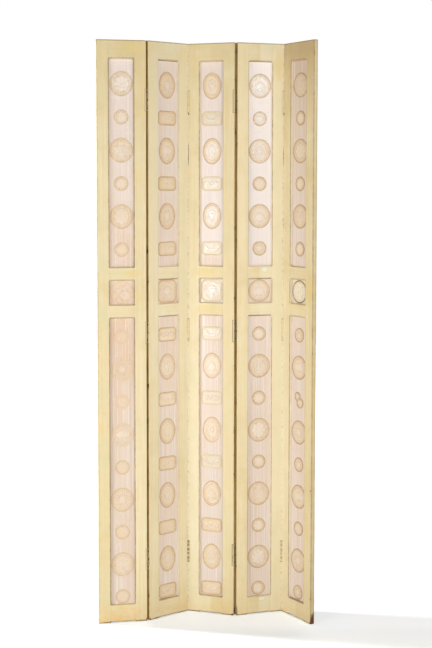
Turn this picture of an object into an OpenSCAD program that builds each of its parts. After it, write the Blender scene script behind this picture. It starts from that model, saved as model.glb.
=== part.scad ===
// Folding screen of five tall leaves, each a stile-and-rail frame with three recessed boards.
// Millimetres, +Z up. The leaves look towards -Y. Origin: middle of the footprint, on the floor.

/* [Leaf] */
// Height of a leaf, foot to top
leaf_h = 2400; // [2200:10:2600]
// Width of a leaf
leaf_w = 201; // [185:1:320]
// Thickness of stiles and rails
leaf_t = 19; // [18:0.5:24]
// Width of a stile
stile_w = 49; // [44:1:56]
// Height of the top rail
top_rail_h = 74; // [60:1:100]
// Height of each of the two middle rails
mid_rail_h = 51; // [42:1:70]
// Height of the bottom rail
bottom_rail_h = 72; // [60:1:100]
// How far the stile feet stand below the bottom rail
foot_h = 3; // [1:0.5:20]
// Height of the upper inset
upper_inset_h = 848; // [780:1:890]
// Height of the small middle inset
square_inset_h = 103; // [80:1:125]

/* [Boards and frame joints] */
// Depth of the inset boards behind the front of the frame
recess = 11; // [8:0.5:12]
// Thickness of an inset board
board_t = 4.5; // [3:0.5:5.5]
// Depth of the groove that holds a board
groove_d = 8; // [5:0.5:10]
// Room for the board to swell in its groove, at the sides and the top
swell_gap = 0.8; // [0.3:0.1:1.5]
// Play of a board between the walls of its groove
board_play = 0.1; // [0:0.05:0.3]
// Thickness of a rail tenon
tenon_t = 7; // [5:0.5:9]
// Wood left in the stile behind a mortise
mortise_wall = 20; // [19.5:0.5:24]
// Room at the blind end of a mortise
mortise_gap = 0.8; // [0.3:0.1:2]

/* [Folds] */
// Inner angle between leaves 1 and 2, measured at the back
fold_1_2 = 152.5; // [90:0.5:178]
// Inner angle between leaves 2 and 3, measured at the front
fold_2_3 = 124; // [90:0.5:178]
// Inner angle between leaves 3 and 4, measured at the back
fold_3_4 = 144.5; // [90:0.5:178]
// Inner angle between leaves 4 and 5, measured at the front
fold_4_5 = 106.5; // [90:0.5:178]
// Direction of leaf 3 against the X axis
middle_heading = -19; // [-60:1:60]

/* [Hinges] */
// Length of a hinge
hinge_l = 89; // [76:1:102]
// Diameter of the knuckle barrel
barrel_d = 9; // [8:0.5:10]
// Thickness of a hinge plate
plate_t = 2.2; // [1.6:0.1:3]
// How far a plate stops short of the far face of the stile
plate_back = 0.5; // [0:0.1:3]
// Diameter of the hinge pin
pin_d = 4.6; // [3:0.1:5]
// Radial play between pin and knuckle
pin_play = 0.05; // [0.02:0.01:0.1]
// Gap between two knuckles along the pin
knuckle_gap = 0.3; // [0.2:0.1:0.6]
// From the middle of the pin to the edge of the stile
pin_off_edge = 0.5; // [0.3:0.1:1.5]
// From the middle of the pin to the face of the stile
pin_proud = 0.5; // [0.3:0.1:2]
// Room around the barrel in the pocket of the stile
pocket_gap = 0.4; // [0.3:0.1:0.8]
// Room at the ends of a plate in its housing
plate_end_gap = 0.2; // [0.1:0.1:0.5]
// Middle of the top hinge below the top of the leaf
hinge_from_top = 240; // [150:5:350]
// Middle of the bottom hinge above the floor
hinge_from_foot = 260; // [150:5:350]
// Height of the button on the pin
pin_head_h = 1.8; // [1:0.1:3]
// Diameter of the button on the pin
pin_head_d = 6.6; // [5.5:0.1:7.5]
// Bevel round the edge of the button
pin_head_bevel = 0.8; // [0.2:0.1:0.9]

/* [Screws] */
// Diameter of a screw head
screw_head_d = 6.8; // [5:0.1:7.5]
// Diameter of a screw shank
screw_d = 3.4; // [2.5:0.1:4]
// Length of a screw
screw_l = 18; // [12:1:19]
// From the end of a plate to the middle of the first screw
screw_margin = 12; // [8:1:16]
// Sideways stagger of the middle screw
screw_stagger = 2.5; // [0:0.5:3]
// How far the row of screws lies beyond the middle of the stile, away from the pin
screw_shift = 1.8; // [0:0.1:2.5]
// How far the crown of a screw head is sunk
screw_crown = 0.4; // [0.1:0.1:0.6]
// Length of the point of a screw
screw_point = 3; // [1:0.5:5]

/* [Medallions] */
// Thickness of the pasted paper picture
paper_t = 0.6; // [0.3:0.1:1]
// Thickness of the raised rim round a picture
rim_t = 1; // [0.6:0.1:1.5]
// Width of the rim
rim_w = 4; // [2:0.5:6]
// Width of the large round medallion
big_round_w = 96; // [70:1:100]
// Height of the large round medallion
big_round_h = 101; // [70:1:110]
// Width of the upright oval medallion
oval_w = 81; // [60:1:90]
// Height of the upright oval medallion
oval_h = 110; // [90:1:120]
// Diameter of the small round medallion
small_round_d = 61; // [40:1:70]
// Width of the small oblong medallion
oblong_w = 91; // [70:1:100]
// Height of the small oblong medallion
oblong_h = 60; // [40:1:80]
// Corner radius of the small oblong medallion
oblong_r = 16; // [10:1:19]
// Diameter of the medallion in the small middle inset
square_round_d = 96; // [60:1:100]
// Least room between a medallion and the frame
medallion_margin = 1; // [0.5:0.5:10]
// Spacing of the medallions in the upper inset
upper_pitch = 134.5; // [125:0.5:160]
// First medallion of the upper inset, below the top of the inset
upper_first = 101; // [70:1:120]
// Spacing of the medallions in the lower inset
lower_pitch = 136; // [125:0.5:160]
// First medallion of the lower inset, below the top of the inset
lower_first = 78; // [45:1:100]

/* [Hidden] */

cut = 1;
inset_w = leaf_w - 2 * stile_w;
rail_l = inset_w;
tenon_l = stile_w - mortise_wall - mortise_gap;
shoulder = groove_d;

// Heights of the insets: [low, high] of the lower, the square and the upper one
lower_lo = foot_h + bottom_rail_h;
upper_hi = leaf_h - top_rail_h;
upper_lo = upper_hi - upper_inset_h;
square_hi = upper_lo - mid_rail_h;
square_lo = square_hi - square_inset_h;
lower_hi = square_lo - mid_rail_h;
insets = [[lower_lo, lower_hi], [square_lo, square_hi], [upper_lo, upper_hi]];

// Directions of the five leaves in plan
h3 = middle_heading;
h2 = h3 + (180 - fold_2_3);
h1 = h2 - (180 - fold_1_2);
h4 = h3 + (180 - fold_3_4);
h5 = h4 - (180 - fold_4_5);
heads = [h1, h2, h3, h4, h5];
function along(i) = [cos(heads[i]), sin(heads[i])];
function across(i) = [-sin(heads[i]), cos(heads[i])];

// Depth of the pin of each fold in its leaves: behind the back at a ridge, before the front at a valley
pin_w = [leaf_t + pin_proud, -pin_proud, leaf_t + pin_proud, -pin_proud];
function step_right(o, k) = o + (leaf_w + pin_off_edge) * along(k) + pin_w[k] * across(k)
    + pin_off_edge * along(k + 1) - pin_w[k] * across(k + 1);
function step_left(o, k) = o - pin_off_edge * along(k + 1) + pin_w[k] * across(k + 1)
    - (leaf_w + pin_off_edge) * along(k) - pin_w[k] * across(k);
raw3 = [0, 0];
raw2 = step_left(raw3, 1);
raw1 = step_left(raw2, 0);
raw4 = step_right(raw3, 2);
raw5 = step_right(raw4, 3);
raws = [raw1, raw2, raw3, raw4, raw5];
corners = [for (i = [0:4], u = [0, leaf_w], w = [0, leaf_t]) raws[i] + u * along(i) + w * across(i)];
middle = [
    (min([for (c = corners) c[0]]) + max([for (c = corners) c[0]])) / 2,
    (min([for (c = corners) c[1]]) + max([for (c = corners) c[1]])) / 2
];

// Hinges: heights of their middles, lengths along the pin
hinge_zs = [hinge_from_foot, (hinge_from_foot + leaf_h - hinge_from_top) / 2, leaf_h - hinge_from_top];
knuckles = 5;
knuckle_l = (hinge_l - (knuckles - 1) * knuckle_gap) / knuckles;
barrel_r = barrel_d / 2;
bore_r = pin_d / 2 + pin_play;
pin_head_r = pin_head_d / 2;
plate_w = pin_proud + leaf_t - plate_back;
screw_zs = [-hinge_l / 2 + screw_margin, 0, hinge_l / 2 - screw_margin];
screw_w = pin_proud + leaf_t / 2 + screw_shift;
function stagger(j) = j == 1 ? screw_stagger : -screw_stagger / 2;
head_cone = (screw_head_d - screw_d) / 2;

// Medallions: sizes held inside the inset
room_w = inset_w - 2 * medallion_margin;
room_h = square_inset_h - 2 * medallion_margin;
heights = [big_round_h, oval_h, small_round_d, oblong_h];

frame_paint = "#ece0b4";
board_tint = "#e4d4cc";
picture_tint = "#e8d4b6";
iron = "#b9a67c";

// Puts a shape drawn in a leaf's own axes (x along the leaf, y to its back) in its place
module on_leaf(i) {
    o = raws[i - 1] - middle;
    translate([o[0], o[1], 0]) rotate([0, 0, heads[i - 1]]) children();
}

// Puts a shape drawn round a pin (x off the stile's edge, y from the pin towards the far face)
// on the pin of fold k, for the leaf at its left or its right
module on_pin(k, left) {
    on_leaf(left ? k : k + 1)
        translate([left ? leaf_w + pin_off_edge : -pin_off_edge, pin_w[k - 1], 0])
            mirror([left ? 0 : 1, 0, 0])
                mirror([0, pin_w[k - 1] > 0 ? 1 : 0, 0])
                    children();
}

module groove(lo, hi, x) {
    translate([x, recess - board_play / 2, lo - groove_d])
        cube([groove_d + cut, board_t + board_play, hi - lo + 2 * groove_d]);
}

module mortise(lo, h, x) {
    translate([x, (leaf_t - tenon_t) / 2, lo + shoulder])
        cube([tenon_l + mortise_gap + cut, tenon_t, h - 2 * shoulder]);
}

// One rail with its two tenons; grooves along its top and bottom edges where a board enters
module rail(lo, h, groove_low, groove_high) {
    difference() {
        union() {
            translate([stile_w, 0, lo]) cube([rail_l, leaf_t, h]);
            translate([stile_w - tenon_l, (leaf_t - tenon_t) / 2, lo + shoulder])
                cube([rail_l + 2 * tenon_l, tenon_t, h - 2 * shoulder]);
        }
        if (groove_low)
            translate([stile_w - cut, recess - board_play / 2, lo - cut])
                cube([rail_l + 2 * cut, board_t + board_play, groove_d + cut]);
        if (groove_high)
            translate([stile_w - cut, recess - board_play / 2, lo + h - groove_d])
                cube([rail_l + 2 * cut, board_t + board_play, groove_d + cut]);
    }
}

// Housing of one hinge in the edge of a stile, with the round pocket for the barrel
module hinge_housing(z) {
    translate([-pin_off_edge - plate_t, -cut, z - hinge_l / 2 - plate_end_gap])
        cube([plate_t + cut, leaf_t + pin_proud + 2 * cut, hinge_l + 2 * plate_end_gap]);
    translate([0, 0, z - hinge_l / 2 - pin_head_h - pocket_gap])
        cylinder(r = barrel_r + pocket_gap, h = hinge_l + 2 * (pin_head_h + pocket_gap), $fn = 48);
    for (j = [0:2])
        translate([-pin_off_edge - screw_l, screw_w + stagger(j), z + screw_zs[j]])
            rotate([0, 90, 0]) cylinder(d = screw_d, h = screw_l, $fn = 24);
}

// A stile; left and right say which edge carries hinges, and at which fold
module stile(i, right) {
    difference() {
        on_leaf(i) difference() {
            translate([right ? leaf_w - stile_w : 0, 0, 0]) cube([stile_w, leaf_t, leaf_h]);
            for (s = insets)
                groove(s[0], s[1], right ? leaf_w - stile_w - cut : stile_w - groove_d);
            for (r = [[foot_h, bottom_rail_h], [lower_hi, mid_rail_h], [square_hi, mid_rail_h],
                      [upper_hi, top_rail_h]])
                mortise(r[0], r[1], right ? leaf_w - stile_w - cut : stile_w - tenon_l - mortise_gap);
        }
        if (right && i < 5) on_pin(i, true) for (z = hinge_zs) hinge_housing(z);
        if (!right && i > 1) on_pin(i - 1, false) for (z = hinge_zs) hinge_housing(z);
    }
}

// A board stands on the floor of its lower groove
module board(s) {
    translate([stile_w - groove_d + swell_gap, recess, s[0] - groove_d])
        cube([inset_w + 2 * (groove_d - swell_gap), board_t, s[1] - s[0] + 2 * groove_d - swell_gap]);
}

// Heights of knuckle j along the pin, from the middle of the hinge
function knuckle_z(j) = -hinge_l / 2 + j * (knuckle_l + knuckle_gap);

// Half a hinge: a plate with the knuckles whose number leaves the given rest when halved
module hinge_half(own) {
    difference() {
        union() {
            translate([-pin_off_edge - plate_t, 0, -hinge_l / 2]) cube([plate_t, plate_w, hinge_l]);
            for (j = [own:2:knuckles - 1])
                translate([0, 0, knuckle_z(j)]) cylinder(r = barrel_r, h = knuckle_l, $fn = 48);
        }
        for (j = [1 - own:2:knuckles - 1])
            translate([0, 0, knuckle_z(j) - (j == 0 ? cut : knuckle_gap)])
                cylinder(r = barrel_r + knuckle_gap,
                    h = knuckle_l + (j == 0 ? cut : knuckle_gap) + (j == knuckles - 1 ? cut : knuckle_gap),
                    $fn = 48);
        translate([0, 0, -hinge_l / 2 - cut]) cylinder(r = bore_r, h = hinge_l + 2 * cut, $fn = 48);
        for (j = [0:2])
            translate([-pin_off_edge, screw_w + stagger(j), screw_zs[j]]) rotate([0, -90, 0]) {
                cylinder(r1 = screw_head_d / 2, r2 = screw_d / 2, h = head_cone, $fn = 24);
                cylinder(d = screw_d, h = plate_t + cut, $fn = 24);
            }
    }
}

// The leaf that carries the pin has the three outer and middle knuckles, the other leaf two
module hinge_plates(i) {
    if (i < 5) on_pin(i, true) for (z = hinge_zs) translate([0, 0, z]) hinge_half(i < 3 ? 1 : 0);
    if (i > 1) on_pin(i - 1, false) for (z = hinge_zs) translate([0, 0, z]) hinge_half(i - 1 < 3 ? 0 : 1);
}

module screw() {
    rotate([0, -90, 0]) rotate_extrude($fn = 24)
        polygon([[0, screw_crown], [screw_head_d / 2 - screw_crown, 0], [screw_head_d / 2, 0],
                 [screw_d / 2, head_cone], [screw_d / 2, screw_l - screw_point], [0, screw_l]]);
}

module edge_screws() {
    for (z = hinge_zs, j = [0:2])
        translate([-pin_off_edge, screw_w + stagger(j), z + screw_zs[j]]) screw();
}

module hinge_screws(i) {
    if (i < 5) on_pin(i, true) edge_screws();
    if (i > 1) on_pin(i - 1, false) edge_screws();
}

// A pin with a button at each end, in three hinges of one fold
module hinge_pins(k) {
    on_pin(k, k >= 3) for (z = hinge_zs)
        translate([0, 0, z - hinge_l / 2]) rotate_extrude($fn = 48)
            polygon([[0, -pin_head_h], [pin_head_r - pin_head_bevel, -pin_head_h],
                     [pin_head_r, -pin_head_h + pin_head_bevel], [pin_head_r, 0],
                     [pin_d / 2, 0], [pin_d / 2, hinge_l], [pin_head_r, hinge_l],
                     [pin_head_r, hinge_l + pin_head_h - pin_head_bevel],
                     [pin_head_r - pin_head_bevel, hinge_l + pin_head_h], [0, hinge_l + pin_head_h]]);
}

module ellipse(w, h) {
    polygon([for (a = [0:7.5:359]) [w / 2 * cos(a), h / 2 * sin(a)]]);
}

module oblong(w, h, r) {
    square([w - 2 * r, h], center = true);
    square([w, h - 2 * r], center = true);
    for (x = [-1, 1], y = [-1, 1]) translate([x * (w / 2 - r), y * (h / 2 - r)]) circle(r = r, $fn = 32);
}

// A medallion outline, drawn smaller by g all round: kind 0 large round, 1 upright oval,
// 2 small round, 3 small oblong, 4 round of the middle inset
module outline(kind, g) {
    if (kind == 0) ellipse(min(big_round_w, room_w) - 2 * g, big_round_h - 2 * g);
    if (kind == 1) ellipse(min(oval_w, room_w) - 2 * g, oval_h - 2 * g);
    if (kind == 2) circle(d = small_round_d - 2 * g, $fn = 48);
    if (kind == 3) oblong(min(oblong_w, room_w) - 2 * g, oblong_h - 2 * g, oblong_r - g);
    if (kind == 4) circle(d = min(square_round_d, room_w, room_h) - 2 * g, $fn = 48);
}

// A pasted picture with a raised rim, lying on the front of the board
module medallion(kind, z) {
    translate([leaf_w / 2, recess, z]) rotate([90, 0, 0]) {
        linear_extrude(height = paper_t) outline(kind, 0);
        linear_extrude(height = rim_t) difference() {
            outline(kind, 0);
            outline(kind, rim_w);
        }
    }
}

// A row of medallions from the top of an inset down, two kinds in turn, as many as fit
module row(kinds, lo, hi, first, pitch) {
    for (n = [0:floor((hi - lo) / pitch)])
        if (first + n * pitch + heights[kinds[n % 2]] / 2 + medallion_margin <= hi - lo)
            medallion(kinds[n % 2], hi - first - n * pitch);
}

// The upper row starts with a large medallion, the lower row with a small one
module medallions(i) {
    big = i == 2 || i == 3 ? 1 : 0;
    small = big + 2;
    color(picture_tint) on_leaf(i) {
        row([big, small], upper_lo, upper_hi, upper_first, upper_pitch);
        medallion(4, (square_lo + square_hi) / 2);
        row([small, big], lower_lo, lower_hi, lower_first, lower_pitch);
    }
}

module mid_rails(i) {
    on_leaf(i) {
        rail(lower_hi, mid_rail_h, true, true);
        rail(square_hi, mid_rail_h, true, true);
    }
}

module leaf_1_left_stile() { color(frame_paint) stile(1, false); }
module leaf_1_right_stile() { color(frame_paint) stile(1, true); }
module leaf_1_top_rail() { color(frame_paint) on_leaf(1) rail(upper_hi, top_rail_h, true, false); }
module leaf_1_mid_rails() { color(frame_paint) mid_rails(1); }
module leaf_1_bottom_rail() { color(frame_paint) on_leaf(1) rail(foot_h, bottom_rail_h, false, true); }
module leaf_1_upper_board() { color(board_tint) on_leaf(1) board(insets[2]); }
module leaf_1_square_board() { color(board_tint) on_leaf(1) board(insets[1]); }
module leaf_1_lower_board() { color(board_tint) on_leaf(1) board(insets[0]); }
module leaf_1_medallions() { medallions(1); }
module leaf_1_hinge_plates() { color(iron) hinge_plates(1); }
module leaf_1_hinge_screws() { color(iron) hinge_screws(1); }
module leaf_2_left_stile() { color(frame_paint) stile(2, false); }
module leaf_2_right_stile() { color(frame_paint) stile(2, true); }
module leaf_2_top_rail() { color(frame_paint) on_leaf(2) rail(upper_hi, top_rail_h, true, false); }
module leaf_2_mid_rails() { color(frame_paint) mid_rails(2); }
module leaf_2_bottom_rail() { color(frame_paint) on_leaf(2) rail(foot_h, bottom_rail_h, false, true); }
module leaf_2_upper_board() { color(board_tint) on_leaf(2) board(insets[2]); }
module leaf_2_square_board() { color(board_tint) on_leaf(2) board(insets[1]); }
module leaf_2_lower_board() { color(board_tint) on_leaf(2) board(insets[0]); }
module leaf_2_medallions() { medallions(2); }
module leaf_2_hinge_plates() { color(iron) hinge_plates(2); }
module leaf_2_hinge_screws() { color(iron) hinge_screws(2); }
module leaf_3_left_stile() { color(frame_paint) stile(3, false); }
module leaf_3_right_stile() { color(frame_paint) stile(3, true); }
module leaf_3_top_rail() { color(frame_paint) on_leaf(3) rail(upper_hi, top_rail_h, true, false); }
module leaf_3_mid_rails() { color(frame_paint) mid_rails(3); }
module leaf_3_bottom_rail() { color(frame_paint) on_leaf(3) rail(foot_h, bottom_rail_h, false, true); }
module leaf_3_upper_board() { color(board_tint) on_leaf(3) board(insets[2]); }
module leaf_3_square_board() { color(board_tint) on_leaf(3) board(insets[1]); }
module leaf_3_lower_board() { color(board_tint) on_leaf(3) board(insets[0]); }
module leaf_3_medallions() { medallions(3); }
module leaf_3_hinge_plates() { color(iron) hinge_plates(3); }
module leaf_3_hinge_screws() { color(iron) hinge_screws(3); }
module leaf_4_left_stile() { color(frame_paint) stile(4, false); }
module leaf_4_right_stile() { color(frame_paint) stile(4, true); }
module leaf_4_top_rail() { color(frame_paint) on_leaf(4) rail(upper_hi, top_rail_h, true, false); }
module leaf_4_mid_rails() { color(frame_paint) mid_rails(4); }
module leaf_4_bottom_rail() { color(frame_paint) on_leaf(4) rail(foot_h, bottom_rail_h, false, true); }
module leaf_4_upper_board() { color(board_tint) on_leaf(4) board(insets[2]); }
module leaf_4_square_board() { color(board_tint) on_leaf(4) board(insets[1]); }
module leaf_4_lower_board() { color(board_tint) on_leaf(4) board(insets[0]); }
module leaf_4_medallions() { medallions(4); }
module leaf_4_hinge_plates() { color(iron) hinge_plates(4); }
module leaf_4_hinge_screws() { color(iron) hinge_screws(4); }
module leaf_5_left_stile() { color(frame_paint) stile(5, false); }
module leaf_5_right_stile() { color(frame_paint) stile(5, true); }
module leaf_5_top_rail() { color(frame_paint) on_leaf(5) rail(upper_hi, top_rail_h, true, false); }
module leaf_5_mid_rails() { color(frame_paint) mid_rails(5); }
module leaf_5_bottom_rail() { color(frame_paint) on_leaf(5) rail(foot_h, bottom_rail_h, false, true); }
module leaf_5_upper_board() { color(board_tint) on_leaf(5) board(insets[2]); }
module leaf_5_square_board() { color(board_tint) on_leaf(5) board(insets[1]); }
module leaf_5_lower_board() { color(board_tint) on_leaf(5) board(insets[0]); }
module leaf_5_medallions() { medallions(5); }
module leaf_5_hinge_plates() { color(iron) hinge_plates(5); }
module leaf_5_hinge_screws() { color(iron) hinge_screws(5); }
module fold_1_2_hinge_pins() { color(iron) hinge_pins(1); }
module fold_2_3_hinge_pins() { color(iron) hinge_pins(2); }
module fold_3_4_hinge_pins() { color(iron) hinge_pins(3); }
module fold_4_5_hinge_pins() { color(iron) hinge_pins(4); }

leaf_1_left_stile();
leaf_1_right_stile();
leaf_1_top_rail();
leaf_1_mid_rails();
leaf_1_bottom_rail();
leaf_1_upper_board();
leaf_1_square_board();
leaf_1_lower_board();
leaf_1_medallions();
leaf_1_hinge_plates();
leaf_1_hinge_screws();
leaf_2_left_stile();
leaf_2_right_stile();
leaf_2_top_rail();
leaf_2_mid_rails();
leaf_2_bottom_rail();
leaf_2_upper_board();
leaf_2_square_board();
leaf_2_lower_board();
leaf_2_medallions();
leaf_2_hinge_plates();
leaf_2_hinge_screws();
leaf_3_left_stile();
leaf_3_right_stile();
leaf_3_top_rail();
leaf_3_mid_rails();
leaf_3_bottom_rail();
leaf_3_upper_board();
leaf_3_square_board();
leaf_3_lower_board();
leaf_3_medallions();
leaf_3_hinge_plates();
leaf_3_hinge_screws();
leaf_4_left_stile();
leaf_4_right_stile();
leaf_4_top_rail();
leaf_4_mid_rails();
leaf_4_bottom_rail();
leaf_4_upper_board();
leaf_4_square_board();
leaf_4_lower_board();
leaf_4_medallions();
leaf_4_hinge_plates();
leaf_4_hinge_screws();
leaf_5_left_stile();
leaf_5_right_stile();
leaf_5_top_rail();
leaf_5_mid_rails();
leaf_5_bottom_rail();
leaf_5_upper_board();
leaf_5_square_board();
leaf_5_lower_board();
leaf_5_medallions();
leaf_5_hinge_plates();
leaf_5_hinge_screws();
fold_1_2_hinge_pins();
fold_2_3_hinge_pins();
fold_3_4_hinge_pins();
fold_4_5_hinge_pins();
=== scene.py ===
"""A folding screen of five painted leaves with pasted pictures: its finish, its fine shapes and its stage."""
import math

import bmesh
import bpy
import numpy as np
from bpy.props import FloatProperty, FloatVectorProperty, PointerProperty
from mathutils import Matrix, Vector, noise


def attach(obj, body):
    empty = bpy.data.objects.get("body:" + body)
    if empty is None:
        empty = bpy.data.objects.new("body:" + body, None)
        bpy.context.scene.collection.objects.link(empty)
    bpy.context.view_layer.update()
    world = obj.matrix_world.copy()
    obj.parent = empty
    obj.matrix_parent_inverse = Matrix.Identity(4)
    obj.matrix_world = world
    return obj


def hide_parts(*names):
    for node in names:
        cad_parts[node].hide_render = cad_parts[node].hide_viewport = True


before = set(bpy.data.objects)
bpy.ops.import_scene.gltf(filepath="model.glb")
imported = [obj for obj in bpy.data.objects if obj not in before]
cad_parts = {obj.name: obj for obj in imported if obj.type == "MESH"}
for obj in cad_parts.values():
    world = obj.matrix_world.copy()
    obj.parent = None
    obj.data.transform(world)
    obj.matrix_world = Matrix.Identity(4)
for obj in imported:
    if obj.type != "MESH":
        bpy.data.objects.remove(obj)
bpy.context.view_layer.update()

bl_info = {
    "name": "Folding Screen",
    "version": (1, 0, 0),
    "blender": (4, 5, 0),
    "location": "View3D > Sidebar > Screen",
    "description": "Paints and furnishes a folding screen of five hinged leaves",
    "category": "Add Mesh",
}

LEAVES = (1, 2, 3, 4, 5)
KNUCKLES = 5      # of each hinge


# Sizes and colours that a user would change

def length(name, description, value):
    """A size in metres."""
    return FloatProperty(name=name, description=description, default=value, min=0, unit="LENGTH", precision=4)


def colour(name, description, value):
    """A colour, written as it looks on a screen."""
    return FloatVectorProperty(name=name, description=description, default=value, min=0, max=1,
                               size=3, subtype="COLOR_GAMMA")


def power(name, description, value):
    """How strong a light is."""
    return FloatProperty(name=name, description=description, default=value, unit="POWER")


def angle(name, description, value):
    """A turn of the camera, in radians."""
    return FloatProperty(name=name, description=description, default=value, subtype="ANGLE", unit="ROTATION")


class ScreenSizes(bpy.types.PropertyGroup):
    """Sizes of the leaves, as the construction gives them."""
    leaf_w: length("Leaf width", "Width of a leaf", 0.201)
    leaf_h: length("Leaf height", "Height of a leaf", 2.4)
    leaf_t: length("Thickness", "Thickness of stiles and rails", 0.019)
    stile_w: length("Stile width", "Width of a stile", 0.049)
    top_rail: length("Top rail", "Height of the top rail", 0.074)
    mid_rail: length("Middle rail", "Height of each middle rail", 0.051)
    bottom_rail: length("Bottom rail", "Height of the bottom rail", 0.072)
    foot: length("Foot", "How far the feet stand below the bottom rail", 0.003)
    upper_inset: length("Upper inset", "Height of the upper inset", 0.848)
    square_inset: length("Square inset", "Height of the small middle inset", 0.103)
    recess: length("Recess", "Depth of the boards behind the frame", 0.011)
    board_t: length("Board", "Thickness of a board", 0.0045)
    groove: length("Groove", "Depth of the groove that holds a board", 0.008)
    swell_gap: length("Swelling gap", "Room for a board to swell", 0.0008)
    board_play: length("Board play", "Play of a board in its groove", 0.0001)
    hinge_l: length("Hinge length", "Length of a hinge", 0.089)
    barrel: length("Barrel", "Diameter of a hinge barrel", 0.009)
    plate_t: length("Plate", "Thickness of a hinge plate", 0.0022)
    pin_off: length("Pin from edge", "From the pin to the edge of the stile", 0.0005)
    pin_proud: length("Pin from face", "From the pin to the face of the stile", 0.0005)
    pocket_gap: length("Pocket gap", "Room round a painted hinge barrel", 0.00012)
    pin_head: length("Pin button", "Height of the button on a pin", 0.0018)
    plate_gap: length("Plate gap", "Room at the ends of a plate", 0.0002)
    hinge_top: length("Top hinge", "Middle of the top hinge below the top", 0.24)
    hinge_foot: length("Bottom hinge", "Middle of the bottom hinge above the floor", 0.26)
    arris: length("Arris", "Radius of the rubbed edges of the frame", 0.0013)
    joint_arris: length("Joint edge", "Radius of the edges at a joint of stile and rail", 0.0004)
    pin_arris: length("Edge at the pins", "Radius of the edges that close on each other at a fold", 0.0002)
    paint_lip: length("Paint lip", "Build-up of paint on the edges that close on each other", 0.00045)
    wave: length("Board wave", "Depth of the waves in a board", 0.0003)
    relief: length("Relief", "Height of the embossed ornaments", 0.0013)
    bead: length("Bead", "Diameter of the beads round a picture", 0.0021)
    bead_pitch: length("Bead spacing", "Spacing of the beads", 0.0032)


class ScreenPictures(bpy.types.PropertyGroup):
    """Sizes of the pasted pictures."""
    paper: length("Paper", "Thickness of a pasted picture", 0.0006)
    rim: length("Rim", "Thickness of the raised rim", 0.001)
    rim_w: length("Rim width", "Width of the raised rim", 0.004)
    big_w: length("Large round width", "Width of the large round", 0.096)
    big_h: length("Large round height", "Height of the large round", 0.101)
    oval_w: length("Oval width", "Width of the upright oval", 0.081)
    oval_h: length("Oval height", "Height of the upright oval", 0.11)
    small: length("Small round", "Diameter of the small round", 0.061)
    oblong_w: length("Oblong width", "Width of the small oblong", 0.091)
    oblong_h: length("Oblong height", "Height of the small oblong", 0.06)
    oblong_r: length("Oblong corner", "Corner radius of the small oblong", 0.016)
    square_round: length("Middle round", "Diameter of the round of the small inset", 0.096)
    cushion_r: length("Cushion corner", "Corner radius of the square picture", 0.024)
    upper_pitch: length("Upper spacing", "Spacing in the upper inset", 0.1345)
    upper_first: length("Upper first", "First picture below the top of the upper inset", 0.101)
    lower_pitch: length("Lower spacing", "Spacing in the lower inset", 0.136)
    lower_first: length("Lower first", "First picture below the top of the lower inset", 0.078)
    margin: length("Margin", "Least room between a picture and the frame", 0.001)


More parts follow.
